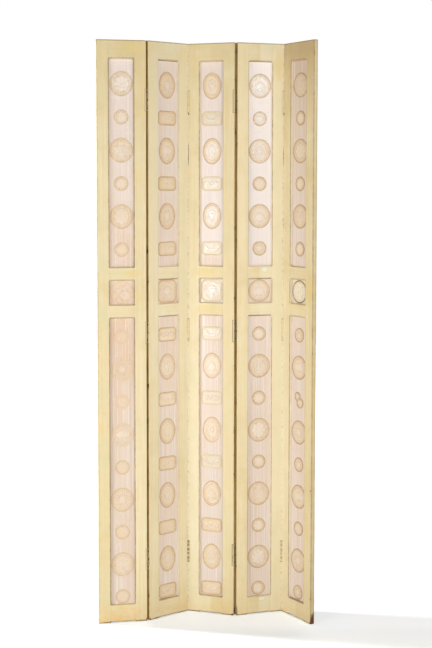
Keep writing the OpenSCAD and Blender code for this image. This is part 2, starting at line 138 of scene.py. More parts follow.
class ScreenColours(bpy.types.PropertyGroup):
    """Colours of paint, paper and metal."""
    cream: colour("Cream", "Oil paint of the frame", (0.936, 0.873, 0.705))
    # Light cream also serves as painted light on the paler halves of the leaves
    cream_light: colour("Light cream", "Where the paint was rubbed clean", (0.965, 0.922, 0.790))
    # Aged cream also serves as painted shade: at the top and the foot of the frame, and on the darker halves
    # of the leaves
    cream_aged: colour("Aged cream", "Where the paint has yellowed", (0.876, 0.788, 0.575))
    cream_green: colour("Greenish cream", "Patches where the paint has gone green", (0.868, 0.848, 0.668))
    cream_pink: colour("Warm cream", "Warmer strokes of the brush", (0.935, 0.852, 0.690))
    grime: colour("Grime", "Dirt in corners and on edges", (0.500, 0.405, 0.270))
    bare: colour("Bare wood", "Wood where the paint is gone", (0.400, 0.240, 0.145))
    edge_dirt: colour("Dirty edge", "Dirty paint of the hinge edges", (0.690, 0.560, 0.300))
    stain: colour("Stain", "Yellow stains on the paint", (0.920, 0.820, 0.540))
    # Paler paint on the frames' inner faces: cleaner paint, and painted light where the recess shades these
    # faces
    wall: colour("Inner edge", "Cleaner, warmer paint on the frames' inner faces", (0.998, 0.950, 0.855))
    # The line colour is painted shadow: the dark line on the boards just under the rails, where the rail
    # above shades them
    line: colour("Shadow line", "Dirt line under the rails", (0.300, 0.190, 0.050))
    scallop: colour("Scalloped rim", "Yellowish rim of the wide pictures of leaf 3", (0.850, 0.760, 0.530))
    rubbed: colour("Rubbed edge", "Brown line along the rubbed inner edges", (0.520, 0.385, 0.200))
    primer: colour("Primer", "White ground under the paint", (0.965, 0.955, 0.915))
    lilac: colour("Lilac paper", "Ground paper", (0.948, 0.890, 0.855))
    blush: colour("Blush paper", "Ground paper where it has browned", (0.918, 0.828, 0.742))
    flush: colour("Flushed paper", "Ground paper where it has turned orange", (0.900, 0.765, 0.630))
    # Light streak also serves as painted light near the boards' side edges
    streak_light: colour("Light streak", "Light streaks of the papers", (0.965, 0.945, 0.930))
    streak_dark: colour("Dark streak", "Dark streaks of the papers", (0.815, 0.720, 0.695))
    # Foxing also serves as the painted shade round the raised parts of the pictures
    foxing: colour("Foxing", "Brown specks of the papers", (0.720, 0.600, 0.470))
    # Dirt and painted shade along the papers' edges, where the stiles shade them
    paper_grime: colour("Paper grime", "Dirt along the edges of the papers", (0.570, 0.420, 0.250))
    peach: colour("Peach", "Fill of the pictures at their rim", (0.932, 0.826, 0.655))
    peach_pale: colour("Pale peach", "Fill of the pictures at their middle", (0.935, 0.846, 0.718))
    # Pearl also serves as the painted highlight on the raised parts of the pictures
    pearl: colour("Pearl", "Raised parts of the pictures", (0.992, 0.975, 0.945))
    outline: colour("Outline", "Printed line round a picture", (0.735, 0.600, 0.450))
    olive: colour("Olive outline", "Dark line round leaf 5's middle picture", (0.450, 0.400, 0.310))
    iron: colour("Iron", "Hinge iron where the paint is gone", (0.230, 0.195, 0.160))
    steel: colour("Steel", "Screws and pins", (0.400, 0.360, 0.300))
    rust: colour("Rust", "Rust of the hinge iron", (0.330, 0.205, 0.120))
    steel_rust: colour("Rusty steel", "Rust in the hollows of screws and pins", (0.290, 0.205, 0.120))
    # Painted shade on the hinge plates deep in the folds that open to the front, where little light reaches
    iron_deep: colour("Deep iron", "Painted hinges deep in a fold", (0.480, 0.370, 0.215))
    iron_worn: colour("Worn iron", "Worn paint between low knuckles", (0.370, 0.235, 0.045))
    plate_paint: colour("Paint on plates", "Paint over a hinge plate beside a fold", (0.860, 0.770, 0.560))
    plate_line: colour("Plate line", "Dark line round a painted hinge plate", (0.560, 0.400, 0.170))
    edge_wood: colour("Edge wood", "Bare wood of the hinge edges", (0.420, 0.310, 0.170))
    foot_soil: colour("Soiled foot", "Soiled paint near the floor", (0.930, 0.755, 0.470))
    # Painted shade on leaf 5: browned paint high up and darker paint at the top, where little light reaches
    cream_brown: colour("Browned cream", "Paint high up on the last leaf", (0.800, 0.660, 0.460))
    cream_dark: colour("Dark cream", "Paint at the top of the last leaf", (0.700, 0.560, 0.370))
    # Painted shade and light on leaf 5's free edge: darker low down, paler high up
    free_low: colour("Low free edge", "Free edge of the last leaf low down", (0.780, 0.640, 0.360))
    free_high: colour("High free edge", "Free edge of the last leaf high up", (0.960, 0.900, 0.740))
    paper_tan: colour("Tan paper", "Ground paper low down on the first leaf", (0.850, 0.765, 0.675))
    paper_dull: colour("Dull paper", "Ground paper low down on the third leaf", (0.850, 0.775, 0.720))
    # Painted shade: leaf 5's ground paper darker at the top
    paper_dark: colour("Dark paper", "Ground paper at the top of the last leaf", (0.760, 0.640, 0.560))
    # Leaf 4's paper paler high up: partly the paper's tone, partly painted light for the shine of its lacquer
    paper_pale: colour("Pale paper", "Ground paper high up on the fourth leaf", (0.990, 0.955, 0.945))
    field_cream: colour("Cream field", "Field of the olive-lined picture", (0.985, 0.950, 0.850))
    field_scrolled: colour("Yellowish field", "Field of the wide pictures of leaf 3", (0.890, 0.838, 0.735))
    relief_cream: colour("Cream relief", "Raised parts of leaf 1's lower pictures", (0.965, 0.915, 0.800))
    relief_speck: colour("Orange specks", "Specks of leaf 1's lower pictures", (0.860, 0.690, 0.540))
    floor_grey: colour("Grey floor", "Darker mottle of the floor", (0.93, 0.93, 0.925))
    floor_white: colour("White floor", "Lighter mottle of the floor", (0.94, 0.94, 0.935))
    # Painted tint: the bluish floor near the screen cancels the warm light that the leaves throw on it
    floor_blue: colour("Bluish floor", "The floor near the screen", (0.895, 0.925, 0.960))


class ScreenStudio(bpy.types.PropertyGroup):
    """Camera and lights."""
    lens: FloatProperty(name="Lens", description="Focal length on a 36 mm long side", default=69.64,
                        min=10, unit="CAMERA")
    shift: FloatProperty(name="Shift", description="Vertical shift of the lens", default=-0.0783)
    pitch: angle("Pitch", "How far the camera looks down", 0.06946)
    yaw: angle("Yaw", "How far the camera looks to the right", 0.01559)
    roll: angle("Roll", "How far the camera leans", 0.00134)
    place: FloatVectorProperty(name="Place", description="Where the camera stands",
                               default=(-0.0409, -5.1715, 1.812), size=3, subtype="XYZ", unit="LENGTH")
    key: power("Key", "Power of the high light at the right", 49.5)
    soft_box: power("Soft box", "Power of the soft box at the left", 12)
    low_left: power("Low left", "Power of the low light at the left", 56)
    low_right: power("Low right", "Power of the low light at the right", 19)
    side: power("Side", "Power of the low light far to the right", 23)
    rear: power("Rear", "Power of the light behind at the left", 205)
    ambient: FloatProperty(name="Ambient", description="Light from all round", default=0.12, min=0)
    floor_glow: FloatProperty(name="Floor glow", description="Brightness added to the floor for the camera",
                              default=0.46, min=0)


SETTINGS = {"screen_sizes": ScreenSizes, "screen_pictures": ScreenPictures,
            "screen_colours": ScreenColours, "screen_studio": ScreenStudio}


def sizes():
    return bpy.context.scene.screen_sizes


def pictures():
    return bpy.context.scene.screen_pictures


def colours():
    return bpy.context.scene.screen_colours


# Plan of the standing screen

# Angles inside the folds and the heading of the middle leaf, in degrees
FOLDS = (152.5, 124.0, 144.5, 106.5)
MIDDLE_HEADING = -19.0


class Leaf:
    """One leaf's place: u runs along it from its left edge, w from its front face to its back, z up."""

    def __init__(self, number, origin, heading):
        self.number, self.origin = number, np.array(origin)
        turn = math.radians(heading)
        self.along = np.array((math.cos(turn), math.sin(turn)))
        self.across = np.array((-math.sin(turn), math.cos(turn)))

    def world(self, points):
        """Points given as u, w, z in the frame of the model."""
        points = np.asarray(points, float)
        plan = self.origin + points[:, :1] * self.along + points[:, 1:2] * self.across
        return np.column_stack((plan, points[:, 2]))


def stand_leaves():
    """The five leaves, folded as in the photograph, with the middle of their footprint at the origin."""
    s = sizes()
    second = MIDDLE_HEADING + 180 - FOLDS[1]
    fourth = MIDDLE_HEADING + 180 - FOLDS[2]
    heads = (second - 180 + FOLDS[0], second, MIDDLE_HEADING, fourth, fourth - 180 + FOLDS[3])
    leaves = [Leaf(n, (0, 0), heads[n - 1]) for n in LEAVES]
    pin_w = [s.leaf_t + s.pin_proud, -s.pin_proud] * 2
    for here, after, pin in zip(leaves, leaves[1:], pin_w):
        step = ((s.leaf_w + s.pin_off) * here.along + pin * here.across
                + s.pin_off * after.along - pin * after.across)
        after.origin = here.origin + step
    plan = [(u, w, 0) for u in (0, s.leaf_w) for w in (0, s.leaf_t)]
    corners = np.vstack([leaf.world(plan) for leaf in leaves])
    middle = (corners.min(0)[:2] + corners.max(0)[:2]) / 2
    for leaf in leaves:
        leaf.origin = leaf.origin - middle
    return leaves


def heights():
    """Heights of the insets and rails, from the floor."""
    s = sizes()
    upper = (s.leaf_h - s.top_rail - s.upper_inset, s.leaf_h - s.top_rail)
    square = (upper[0] - s.mid_rail - s.square_inset, upper[0] - s.mid_rail)
    lower = (s.foot + s.bottom_rail, square[0] - s.mid_rail)
    return {
        "insets": {"lower": lower, "square": square, "upper": upper},
        "rails": {"bottom": (s.foot, lower[0]), "low_middle": (lower[1], square[0]),
                  "high_middle": (square[1], upper[0]), "top": (upper[1], s.leaf_h)},
        "hinges": (s.hinge_foot, (s.hinge_foot + s.leaf_h - s.hinge_top) / 2, s.leaf_h - s.hinge_top),
    }


# Meshes: points with notes for the finish

class Shape:
    """Points of one piece in a leaf's own axes. Each has a note of wear, of grime (on the boards also painted
    shade) and a free third value.
    """

    def __init__(self, grain="z"):
        self.points, self.notes, self.faces, self.slots = [], [], [], []
        self.grain = grain

    def add(self, points, notes, faces, slots):
        """Adds points and the faces on them, numbered from the first new point."""
        first = len(self.points)
        self.points += [tuple(p) for p in points]
        self.notes += [tuple(n) for n in notes]
        self.faces += [tuple(first + i for i in face) for face in faces]
        self.slots += slots

    def loft(self, rings, notes, ring_slots):
        """Joins closed rings of equal count and caps both ends. ring_slots has a slot for each step round."""
        count, turns = len(rings[0]), len(rings)
        faces, slots = [], []
        for r in range(turns - 1):
            for i in range(count):
                after = (i + 1) % count
                low, high = r * count, (r + 1) * count
                faces.append((low + i, low + after, high + after, high + i))
                slots.append(ring_slots[i])
        faces += [tuple(range(count)), tuple(range((turns - 1) * count, turns * count))]
        self.add([p for ring in rings for p in ring], [n for ring in notes for n in ring],
                 faces, slots + [0, 0])

    def make(self, name, leaf, materials, slot, nodes, crease=32):
        """A finished object in the model's frame that rides on the leaf and stands for the given nodes."""
        mesh = bpy.data.meshes.new(name)
        mesh.from_pydata(leaf.world(self.points).tolist(), [], self.faces)
        mesh.polygons.foreach_set("material_index", self.slots)
        local = np.array(self.points)
        order = (0, 1, 2) if self.grain == "z" else (2, 1, 0)
        marks = {"spot": local, "grain": local[:, order], "notes": np.array(self.notes)}
        for label, values in marks.items():
            layer = mesh.attributes.new(label, "FLOAT_VECTOR", "POINT")
            layer.data.foreach_set("vector", values.astype(np.float32).ravel())
        tidy_mesh(mesh, crease)
        for material in materials:
            mesh.materials.append(material)
        piece = bpy.data.objects.new(name, mesh)
        bpy.context.scene.collection.objects.link(piece)
        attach(piece, f"leaf_{leaf.number}")
        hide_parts(*nodes)


def tidy_mesh(mesh, crease):
    """Merges what coincides, turns faces outwards and keeps edges sharper than crease degrees sharp."""
    work = bmesh.new()
    work.from_mesh(mesh)
    bmesh.ops.remove_doubles(work, verts=work.verts, dist=2e-6)
    bmesh.ops.dissolve_degenerate(work, edges=work.edges, dist=2e-6)
    bmesh.ops.recalc_face_normals(work, faces=work.faces)
    limit = math.radians(crease)
    for face in work.faces:
        face.smooth = True
    for edge in work.edges:
        edge.smooth = len(edge.link_faces) == 2 and edge.calc_face_angle(math.pi) < limit
    work.to_mesh(mesh)
    work.free()


def arc(cx, cy, radius, start, end, count):
    """Points on an arc from start to end, in degrees."""
    turns = [math.radians(start + (end - start) * i / (count - 1)) for i in range(count)]
    return [(cx + radius * math.cos(a), cy + radius * math.sin(a)) for a in turns]


def inside(value, spans):
    return any(low < value < high for low, high in spans)


# How much the radius of a worn edge changes along it, and the depth and rarity of the knocks in it
EDGE_CHANGE, KNOCK_DEPTH, KNOCK_RARITY = 0.45, 0.004, 0.42


def rubbed(base, place, seed):
    """Radius of a worn edge at a place along it: a slow change and a few deeper knocks."""
    slow = noise.noise(Vector((place * 6, seed, 0.3)))
    knock = max(0, noise.noise(Vector((place * 45, seed, 7.1))) - KNOCK_RARITY)
    return base * (1 + EDGE_CHANGE * slow) + KNOCK_DEPTH * knock


# Shader maths

def linear(shade):
    """A colour written as it looks on a screen, as linear light."""
    return tuple(c / 12.92 if c <= 0.04045 else ((c + 0.055) / 1.055) ** 2.4 for c in shade)


class Value:
    """A number that changes over a surface. Arithmetic on it adds the Math nodes."""

    def __init__(self, paint, socket):
        self.paint, self.socket = paint, socket

    def __add__(self, other):
        return self.paint.math("ADD", self, other)

    __radd__ = __add__

    def __sub__(self, other):
        return self.paint.math("SUBTRACT", self, other)

    def __rsub__(self, other):
        return self.paint.math("SUBTRACT", other, self)

    def __mul__(self, other):
        return self.paint.math("MULTIPLY", self, other)

    __rmul__ = __mul__

    def __truediv__(self, other):
        return self.paint.math("DIVIDE", self, other)

    def __pow__(self, other):
        return self.paint.math("POWER", self, other)

    def __neg__(self):
        return self.paint.math("MULTIPLY", self, -1)

    def __abs__(self):
        return self.paint.math("ABSOLUTE", self)

    def clamp(self):
        return self.paint.math("MINIMUM", self.paint.math("MAXIMUM", self, 0), 1)

    def step(self, low, high):
        """0 below low, 1 above high, smooth between them. It falls instead if low is above high."""
        return self.paint.node("ShaderNodeMapRange", {"interpolation_type": "SMOOTHSTEP"},
                               {"Value": self, "From Min": low, "From Max": high, "To Min": 0, "To Max": 1})


class Paint:
    """The nodes of one material."""

    def __init__(self, name):
        self.material = bpy.data.materials.new(name)
        self.material.use_nodes = True
        self.tree = self.material.node_tree
        self.tree.nodes.clear()

    def node(self, kind, settings=None, inputs=None, output=0):
        """Adds a node with its settings first and then the values or links of its sockets."""
        made = self.tree.nodes.new(kind)
        for key, value in (settings or {}).items():
            setattr(made, key, value)
        for key, value in (inputs or {}).items():
            self.feed(made.inputs[key], value)
        return Value(self, made.outputs[output])

    def feed(self, socket, value):
        if isinstance(value, Value):
            self.tree.links.new(value.socket, socket)
        elif socket.type == "RGBA":
            socket.default_value = (*linear(value), 1)
        else:
            socket.default_value = value

    def math(self, operation, *values):
        return self.node("ShaderNodeMath", {"operation": operation}, dict(enumerate(values)))

    def vector_math(self, operation, *values):
        return self.node("ShaderNodeVectorMath", {"operation": operation}, dict(enumerate(values)))

    def mix(self, factor, first, second):
        """A colour between two others."""
        return self.node("ShaderNodeMix", {"data_type": "RGBA"}, {"Factor": factor, 6: first, 7: second}, 2)

    def attribute(self, name):
        return self.node("ShaderNodeAttribute", {"attribute_name": name}, output=1)

    def split(self, vector):
        made = self.tree.nodes.new("ShaderNodeSeparateXYZ")
        self.tree.links.new(vector.socket, made.inputs[0])
        return [Value(self, made.outputs[i]) for i in range(3)]

    def noise(self, vector, scale, detail=2.0, rough=0.5, stretch=None, shift=0.0):
        """Noise from 0 to 1 about 0.5. stretch is the scale along each axis, scale that of all together."""
        if stretch or shift:
            away = (shift, shift * 1.7, shift * 0.6)
            vector = self.vector_math("MULTIPLY_ADD", vector, stretch or (1, 1, 1), away)
        return self.node("ShaderNodeTexNoise", None,
                         {"Vector": vector, "Scale": scale, "Detail": detail, "Roughness": rough})

    def finish(self, tint, roughness, height, bump, metallic=0.0, specular=0.5, coat=0.0, coat_roughness=0.1):
        """The surface: what varies is linked, and what is the same all over is set on the shader itself."""
        shader = self.tree.nodes.new("ShaderNodeBsdfPrincipled")
        self.feed(shader.inputs["Base Color"], tint)
        self.feed(shader.inputs["Roughness"], roughness)
        self.feed(shader.inputs["Metallic"], metallic)
        shader.inputs["Specular IOR Level"].default_value = specular
        self.feed(shader.inputs["Coat Weight"], coat)
        shader.inputs["Coat Roughness"].default_value = coat_roughness
        bumped = self.node("ShaderNodeBump", None, {"Height": height, "Distance": bump, "Strength": 1.0})
        self.feed(shader.inputs["Normal"], bumped)
        out = self.tree.nodes.new("ShaderNodeOutputMaterial")
        self.tree.links.new(shader.outputs[0], out.inputs[0])
        return self.material


# Marks of age that the photograph shows: leaf, middle u and z, half sizes, in metres
CHIPS = ((4, 0.120, 1.4625, 0.0105, 0.0075), (4, 0.1125, 0.0625, 0.0110, 0.0060))
BARE_SPOTS = (
    (5, 0.203, -0.006, 0.0055, 0.0450), (4, -0.001, 0.020, 0.0050, 0.0290), (1, 0.049, 0.0, 0.0030, 0.0080),
    (4, 0.199, 1.252, 0.0024, 0.0026), (4, 0.200, 2.121, 0.0026, 0.0060), (5, 0.001, 2.112, 0.0024, 0.0075),
    (5, 0.053, 1.270, 0.0032, 0.0030), (3, 0.001, 2.166, 0.0022, 0.0032), (3, 0.002, 2.110, 0.0024, 0.0040),
    (5, 0.197, 0.105, 0.0024, 0.0040), (5, 0.196, 0.560, 0.0022, 0.0036), (1, 0.200, 0.006, 0.0028, 0.0070),
    (2, 0.001, 0.006, 0.0044, 0.0060), (3, 0.000, 1.940, 0.0016, 0.0450), (5, 0.000, 1.935, 0.0018, 0.0420),
    (3, 0.197, 0.004, 0.0050, 0.0040), (1, 0.075, 0.001, 0.0060, 0.0028),
)
STAINS = (
    (3, 0.075, 1.453, 0.040, 0.020), (3, 0.080, 1.299, 0.038, 0.018), (1, 0.145, 1.455, 0.036, 0.012),
    (1, 0.168, 1.350, 0.010, 0.030), (1, 0.015, 0.810, 0.012, 0.020), (1, 0.150, 2.370, 0.050, 0.020),
    (5, 0.180, 1.390, 0.020, 0.060), (4, 0.180, 2.310, 0.022, 0.060),
)

# How pale or yellow each leaf's left and right halves are, low down and high up: partly the paint's tone,
# partly painted light and shade for how each leaf is lit
STILE_TONES_AND_LIGHT = {1: ((-0.55, 0.1), (-0.1, -0.35)), 2: ((0.2, 0.2), (0.7, 0.7)), 3: ((0.8, -0.5), (0.0, -0.4)),
               4: ((-0.2, 1.1), (0.1, 1.3)), 5: ((0.5, -0.3), (0.1, -0.10))}
# How strong each leaf's green and yellow patches are, and how soiled its foot is
PATCHES = {1: (0.25, 0.30), 2: (0.20, 0.30), 3: (0.20, 0.30), 4: (0.20, 0.15), 5: (0.15, 0.30)}
FOOT_SOIL = {1: 0.70, 2: 0.40, 3: 0.35, 4: 0.22, 5: 0.22}
# Hinge plates that show through the paint at a leaf's right edge: how wide, and how strong
PLATE_MARKS = {1: (0.0030, 0.45), 3: (0.0052, 0.9)}


def blotch(u, z, mark, ragged, soft=0.35):
    """A mask over an oval mark with a ragged edge."""
    _, mark_u, mark_z, half_u, half_z = mark
    away = ((u - mark_u) / half_u) ** 2 + ((z - mark_z) / half_z) ** 2 + (ragged - 0.5) * 2.2
    return away.step(1 + soft, 1 - soft)


def highest(paint, masks):
    """The greatest of some masks at each place."""
    result = masks[0]
    for mask in masks[1:]:
        result = paint.math("MAXIMUM", result, mask)
    return result


def brushed_cream(paint, z, strokes, bands, cloud, dabs):
    """Cream in brush strokes along the wood, yellowed in clouds, and darker and yellower at the top and at
    the foot as aged paint and painted shade.
    """
    c = colours()
    base = paint.mix(bands.step(0.34, 0.66), c.cream, c.cream_pink)
    base = paint.mix(strokes.step(0.46, 0.74) * 0.75, base, c.cream_light)
    base = paint.mix(strokes.step(0.50, 0.26) * 0.45, base, c.cream_aged)
    base = paint.mix(bands.step(0.42, 0.28) * 0.40, base, c.cream_aged)
    base = paint.mix(bands.step(0.58, 0.72) * 0.45, base, c.cream_light)
    # Darker towards the top and the foot: aged paint, and painted shade where less light reaches
    aged_and_shaded = (cloud.step(0.46, 0.74) * 0.55 + z.step(1.95, 2.42) * 0.40 + z.step(0.30, 0.0) * 0.30
            + dabs.step(0.56, 0.8) * 0.30).clamp()
    base = paint.mix(aged_and_shaded, base, c.cream_aged)
    return paint.mix(cloud.step(0.44, 0.20) * 0.7, base, c.cream_light)


def last_leaf_tones(paint, base, u, z):
    """The same paint on leaf 5: browned and darkened at the top as painted shade, its free edge darkened low
    down as painted shade and paler high up as painted light.
    """
    c, leaf_w = colours(), sizes().leaf_w
    free = u.step(leaf_w - 0.0015, leaf_w - 0.0008)
    base = paint.mix(z.step(1.95, 2.42) * 0.45, base, c.cream_brown)
    base = paint.mix(z.step(2.26, 2.36) * 0.30, base, c.cream_dark)
    base = paint.mix(free * z.step(1.75, 1.25) * 0.32, base, c.free_low)
    return paint.mix(free * z.step(1.80, 2.20) * 0.60, base, c.free_high)


def toned_halves(paint, base, u, z, leaf):
    """The same paint, paler or yellower on the leaf's left and right halves: partly its tone, partly painted
    light and shade.
    """
    c = colours()
    (left_low, right_low), (left_top, right_top) = STILE_TONES_AND_LIGHT[leaf]
    rise = z.step(0.6, 1.7)
    left_tone = rise * (left_top - left_low) + left_low
    right_tone = rise * (right_top - right_low) + right_low
    side = u.step(0.09, 0.11) * (right_tone - left_tone) + left_tone
    base = paint.mix(side.clamp() * 0.7, base, c.cream_light)
    return paint.mix((-side).clamp() * 0.7, base, c.cream_aged)


def stained(paint, base, spot, dabs, leaf, seed):
    """The same paint with green patches, yellow patches and stains."""
    c = colours()
    u, _, z = paint.split(spot)
    patches = paint.noise(spot, 17, 4, 0.65, (1, 1, 0.45), seed)
    green, yellow = PATCHES[leaf]
    if leaf == 1:
        green = u.step(0.075, 0.03) * z.step(1.7, 1.2) * 0.35 + green
    base = paint.mix(patches.step(0.48, 0.66) * green, base, c.cream_green)
    base = paint.mix(patches.step(0.44, 0.30) * yellow, base, c.stain)
    stains = [blotch(u, z, mark, dabs, 0.9) for mark in STAINS if mark[0] == leaf]
    return paint.mix(highest(paint, stains) * 0.5, base, c.stain) if stains else base


def plate_marks(paint, base, spot, dabs, leaf):
    """The same paint with the outlines of the hinge plates that it covers, rubbed at the lowest of them."""
    s, c = sizes(), colours()
    u, w, z = paint.split(spot)
    wide, strength = PLATE_MARKS[leaf]
    beside = highest(paint, [s.hinge_l / 2 - abs(z - middle) for middle in heights()["hinges"]])
    out = paint.math("MAXIMUM", -beside, s.leaf_w - u - wide)
    face = w.step(0.0030, 0.0015) * strength
    covered = out.step(0.0003, -0.0003)
    base = paint.mix((covered * face * 0.8).clamp(), base, c.plate_paint)
    low = z.step(0.45, 0.35) * dabs.step(0.38, 0.58) * covered
    base = paint.mix((low * face * 0.8).clamp(), base, c.rubbed)
    return paint.mix((abs(out - 0.0012).step(0.0018, 0.0006) * face * 0.9).clamp(), base, c.plate_line)


def cream_paint(leaf):
    """Old cream oil paint, yellowed and stained, with grime in its corners and rubbed and chipped edges."""
    c = colours()
    p = Paint(f"cream_paint_{leaf}")
    spot, grain = p.attribute("spot"), p.attribute("grain")
    u, w, z = p.split(spot)
    wear, grime, tone = p.split(p.attribute("notes"))
    seed = leaf * 3.7
    strokes = p.noise(grain, 1, 4, 0.62, (420, 160, 3.2), seed)
    bands = p.noise(grain, 1, 2, 0.5, (75, 20, 0.8), seed + 2)
    cloud = p.noise(spot, 6.5, 3, 0.6, shift=seed)
    dabs = p.noise(spot, 38, 3, 0.6, shift=seed + 1)
    fine = p.noise(spot, 420, 3, 0.6, shift=seed)
    base = brushed_cream(p, z, strokes, bands, cloud, dabs)
    if leaf == 5:
        base = last_leaf_tones(p, base, u, z)
    base = toned_halves(p, base, u, z, leaf)
    base = stained(p, base, spot, dabs, leaf, seed + 4)
    # Inner faces, where the third note is below zero, get the paler paint: cleaner paint and painted light in
    # the shaded recess
    base = p.mix((-tone).clamp() * 0.85, base, c.wall)
    base = p.mix((tone * (0.95 + (dabs - 0.5) * 1.8)).clamp(), base, c.rubbed)
    soil = z.step(0.11, 0.01) * dabs.step(0.25, 0.75) * FOOT_SOIL[leaf]
    base = p.mix(soil.clamp(), base, c.foot_soil)
    base = p.mix((z + (dabs - 0.5) * 0.010).step(0.0065, 0.0040) * 0.75, base, c.rubbed)
    if leaf in PLATE_MARKS:
        base = plate_marks(p, base, spot, dabs, leaf)
    below_top = z - (sizes().leaf_h - 0.0065)
    specks = p.noise(spot, 90, 4, 0.7, shift=seed + 5).step(0.67, 0.8)
    dirt = (grime * 0.8 * dabs.step(0.2, 0.6) + below_top.step(0.0, 0.005) * 0.55
            + (0.006 - z).step(0, 0.006) * 0.30 + specks * 0.30)
    base = p.mix(dirt.clamp(), base, c.grime)
    uneven = p.noise(spot, 70, 4, 0.65, shift=seed + 3) - 0.5
    rub = ((wear ** 3) * 0.45 + (wear ** 2) * uneven * 3.0).step(0.4, 0.9)
    base = p.mix(rub * 0.40, base, c.grime)
    front = w.step(0.0120, 0.0060)
    chips = [blotch(u, z, mark, dabs) * front for mark in CHIPS if mark[0] == leaf]
    bare = [blotch(u, z, mark, dabs) for mark in BARE_SPOTS if mark[0] == leaf]
    flakes = (wear ** 2 * p.noise(spot, 34, 5, 0.75, shift=seed + 8)).step(0.70, 0.74)
    bare = highest(p, bare + [flakes])
    height = (strokes * 0.30 + fine * 0.10 + cloud * 0.35 - bare * 0.9)
    if chips:
        white = highest(p, chips) * fine.step(0.32, 0.44)
        base = p.mix(white, base, c.primer)
        height = height - white * 0.6
    base = p.mix(bare, base, c.bare)
    rough = (0.46 + (strokes - 0.5) * 0.25 + bare * 0.3 + dirt.clamp() * 0.15).clamp()
    return p.finish(base, rough, height, 0.0004, specular=0.4)


def edge_paint(leaf):
    """Thin, dirty cream paint on the edges that the hinges join, rubbed to the wood where they touch."""
    c = colours()
    p = Paint(f"edge_paint_{leaf}")
    spot, grain = p.attribute("spot"), p.attribute("grain")
    _, w, _ = p.split(spot)
    rings = p.noise(grain, 1, 5, 0.65, (300, 300, 4.5), leaf)
    patch = p.noise(spot, 14, 4, 0.65, shift=leaf)
    base = p.mix(rings.step(0.3, 0.7), c.edge_dirt, c.cream_aged)
    base = p.mix(patch.step(0.42, 0.70) * 0.75, base, c.edge_dirt)
    ragged = (p.noise(spot, 60, 3, 0.6, shift=leaf) - 0.5) * 0.004
    lap = (w + ragged).step(0.0026, 0.0014)
    base = p.mix(lap * 0.6, base, c.cream_aged)
    bare = patch.step(0.62, 0.67)
    base = p.mix(bare, base, c.edge_wood)
    return p.finish(base, (0.55 + (rings - 0.5) * 0.3).clamp(), rings - bare * 0.6, 0.0005, specular=0.35)


# How far each leaf's paper has browned: at the floor, the lower inset's top, the upper inset's foot, the top.
# High up, leaf 4's values also hold painted light and leaf 5's painted shade
BROWNED = {1: (0.85, 1.10, 0.65, 0.15), 2: (0.62, 1.00, 0.60, 0.35), 3: (0.65, 0.90, -0.10, 0.30),
           4: (0.75, 0.50, -0.20, -0.35), 5: (0.62, 0.50, 0.50, 1.10)}


def browning(paint, z, leaf):
    """How far the paper has browned at each height, with painted light high up on leaf 4 and painted shade on
    leaf 5.
    """
    low, middle, above, top = BROWNED[leaf]
    h = heights()["insets"]
    rise = z.step(h["lower"][0], h["lower"][1]) * (middle - low) + low
    fall = z.step(h["upper"][0], h["upper"][1]) * (top - above) + above
    return paint.node("ShaderNodeMix", {"data_type": "FLOAT"},
                      {"Factor": z.step(h["square"][0], h["square"][1]), 2: rise, 3: fall})


# Parts of the papers with another colour: leaf, colour, strength, whether patchy, heights of its fades
FLUSHES = (
    (1, "paper_tan", 0.30, False, ((1.29, 1.25),)),
    (1, "flush", 0.80, True, ((0.70, 1.20), (1.30, 1.28))),
    (1, "flush", 0.60, True, ((1.90, 1.52), (1.45, 1.50))),
    (1, "flush", 0.45, False, ((1.31, 1.33), (1.45, 1.44))),
    (3, "paper_dull", 0.30, False, ((1.45, 1.25),)),
    # Leaf 5's darker paper at the top is painted shade
    (5, "paper_dark", 0.26, False, ((2.05, 2.34),)),
)


def flushed(paint, base, z, cloud, leaf):
    """The same paper with the parts of leaves 1 and 3 that have changed colour, and leaf 5's top darkened as
    painted shade.
    """
    for number, shade, strength, patchy, fades in FLUSHES:
        if number == leaf:
            mask = z.step(*fades[0])
            for fade in fades[1:]:
                mask = mask * z.step(*fade)
            if patchy:
                mask = mask * cloud.step(0.25, 0.6)
            base = paint.mix(mask * strength, base, getattr(colours(), shade))
    return base


def swept(paint, base, spot, leaf, amount, shade):
    """The same paper with the brushed wrinkles at the tops of leaves 1 and 4, the dark ones in a shade."""
    if leaf not in (1, 4):
        return base
    u, _, z = paint.split(spot)
    sweep = paint.noise(spot, 58, 4, 0.62, (0.55, 1, 1.7), leaf * 5.3 + 9)
    where = z.step(1.80, 1.95) * abs(u - 0.1).step(0.052, 0.036) * amount
    base = paint.mix(sweep.step(0.54, 0.66) * where * 0.42, base, colours().streak_light)
    return paint.mix(sweep.step(0.46, 0.34) * where * 0.24, base, shade)


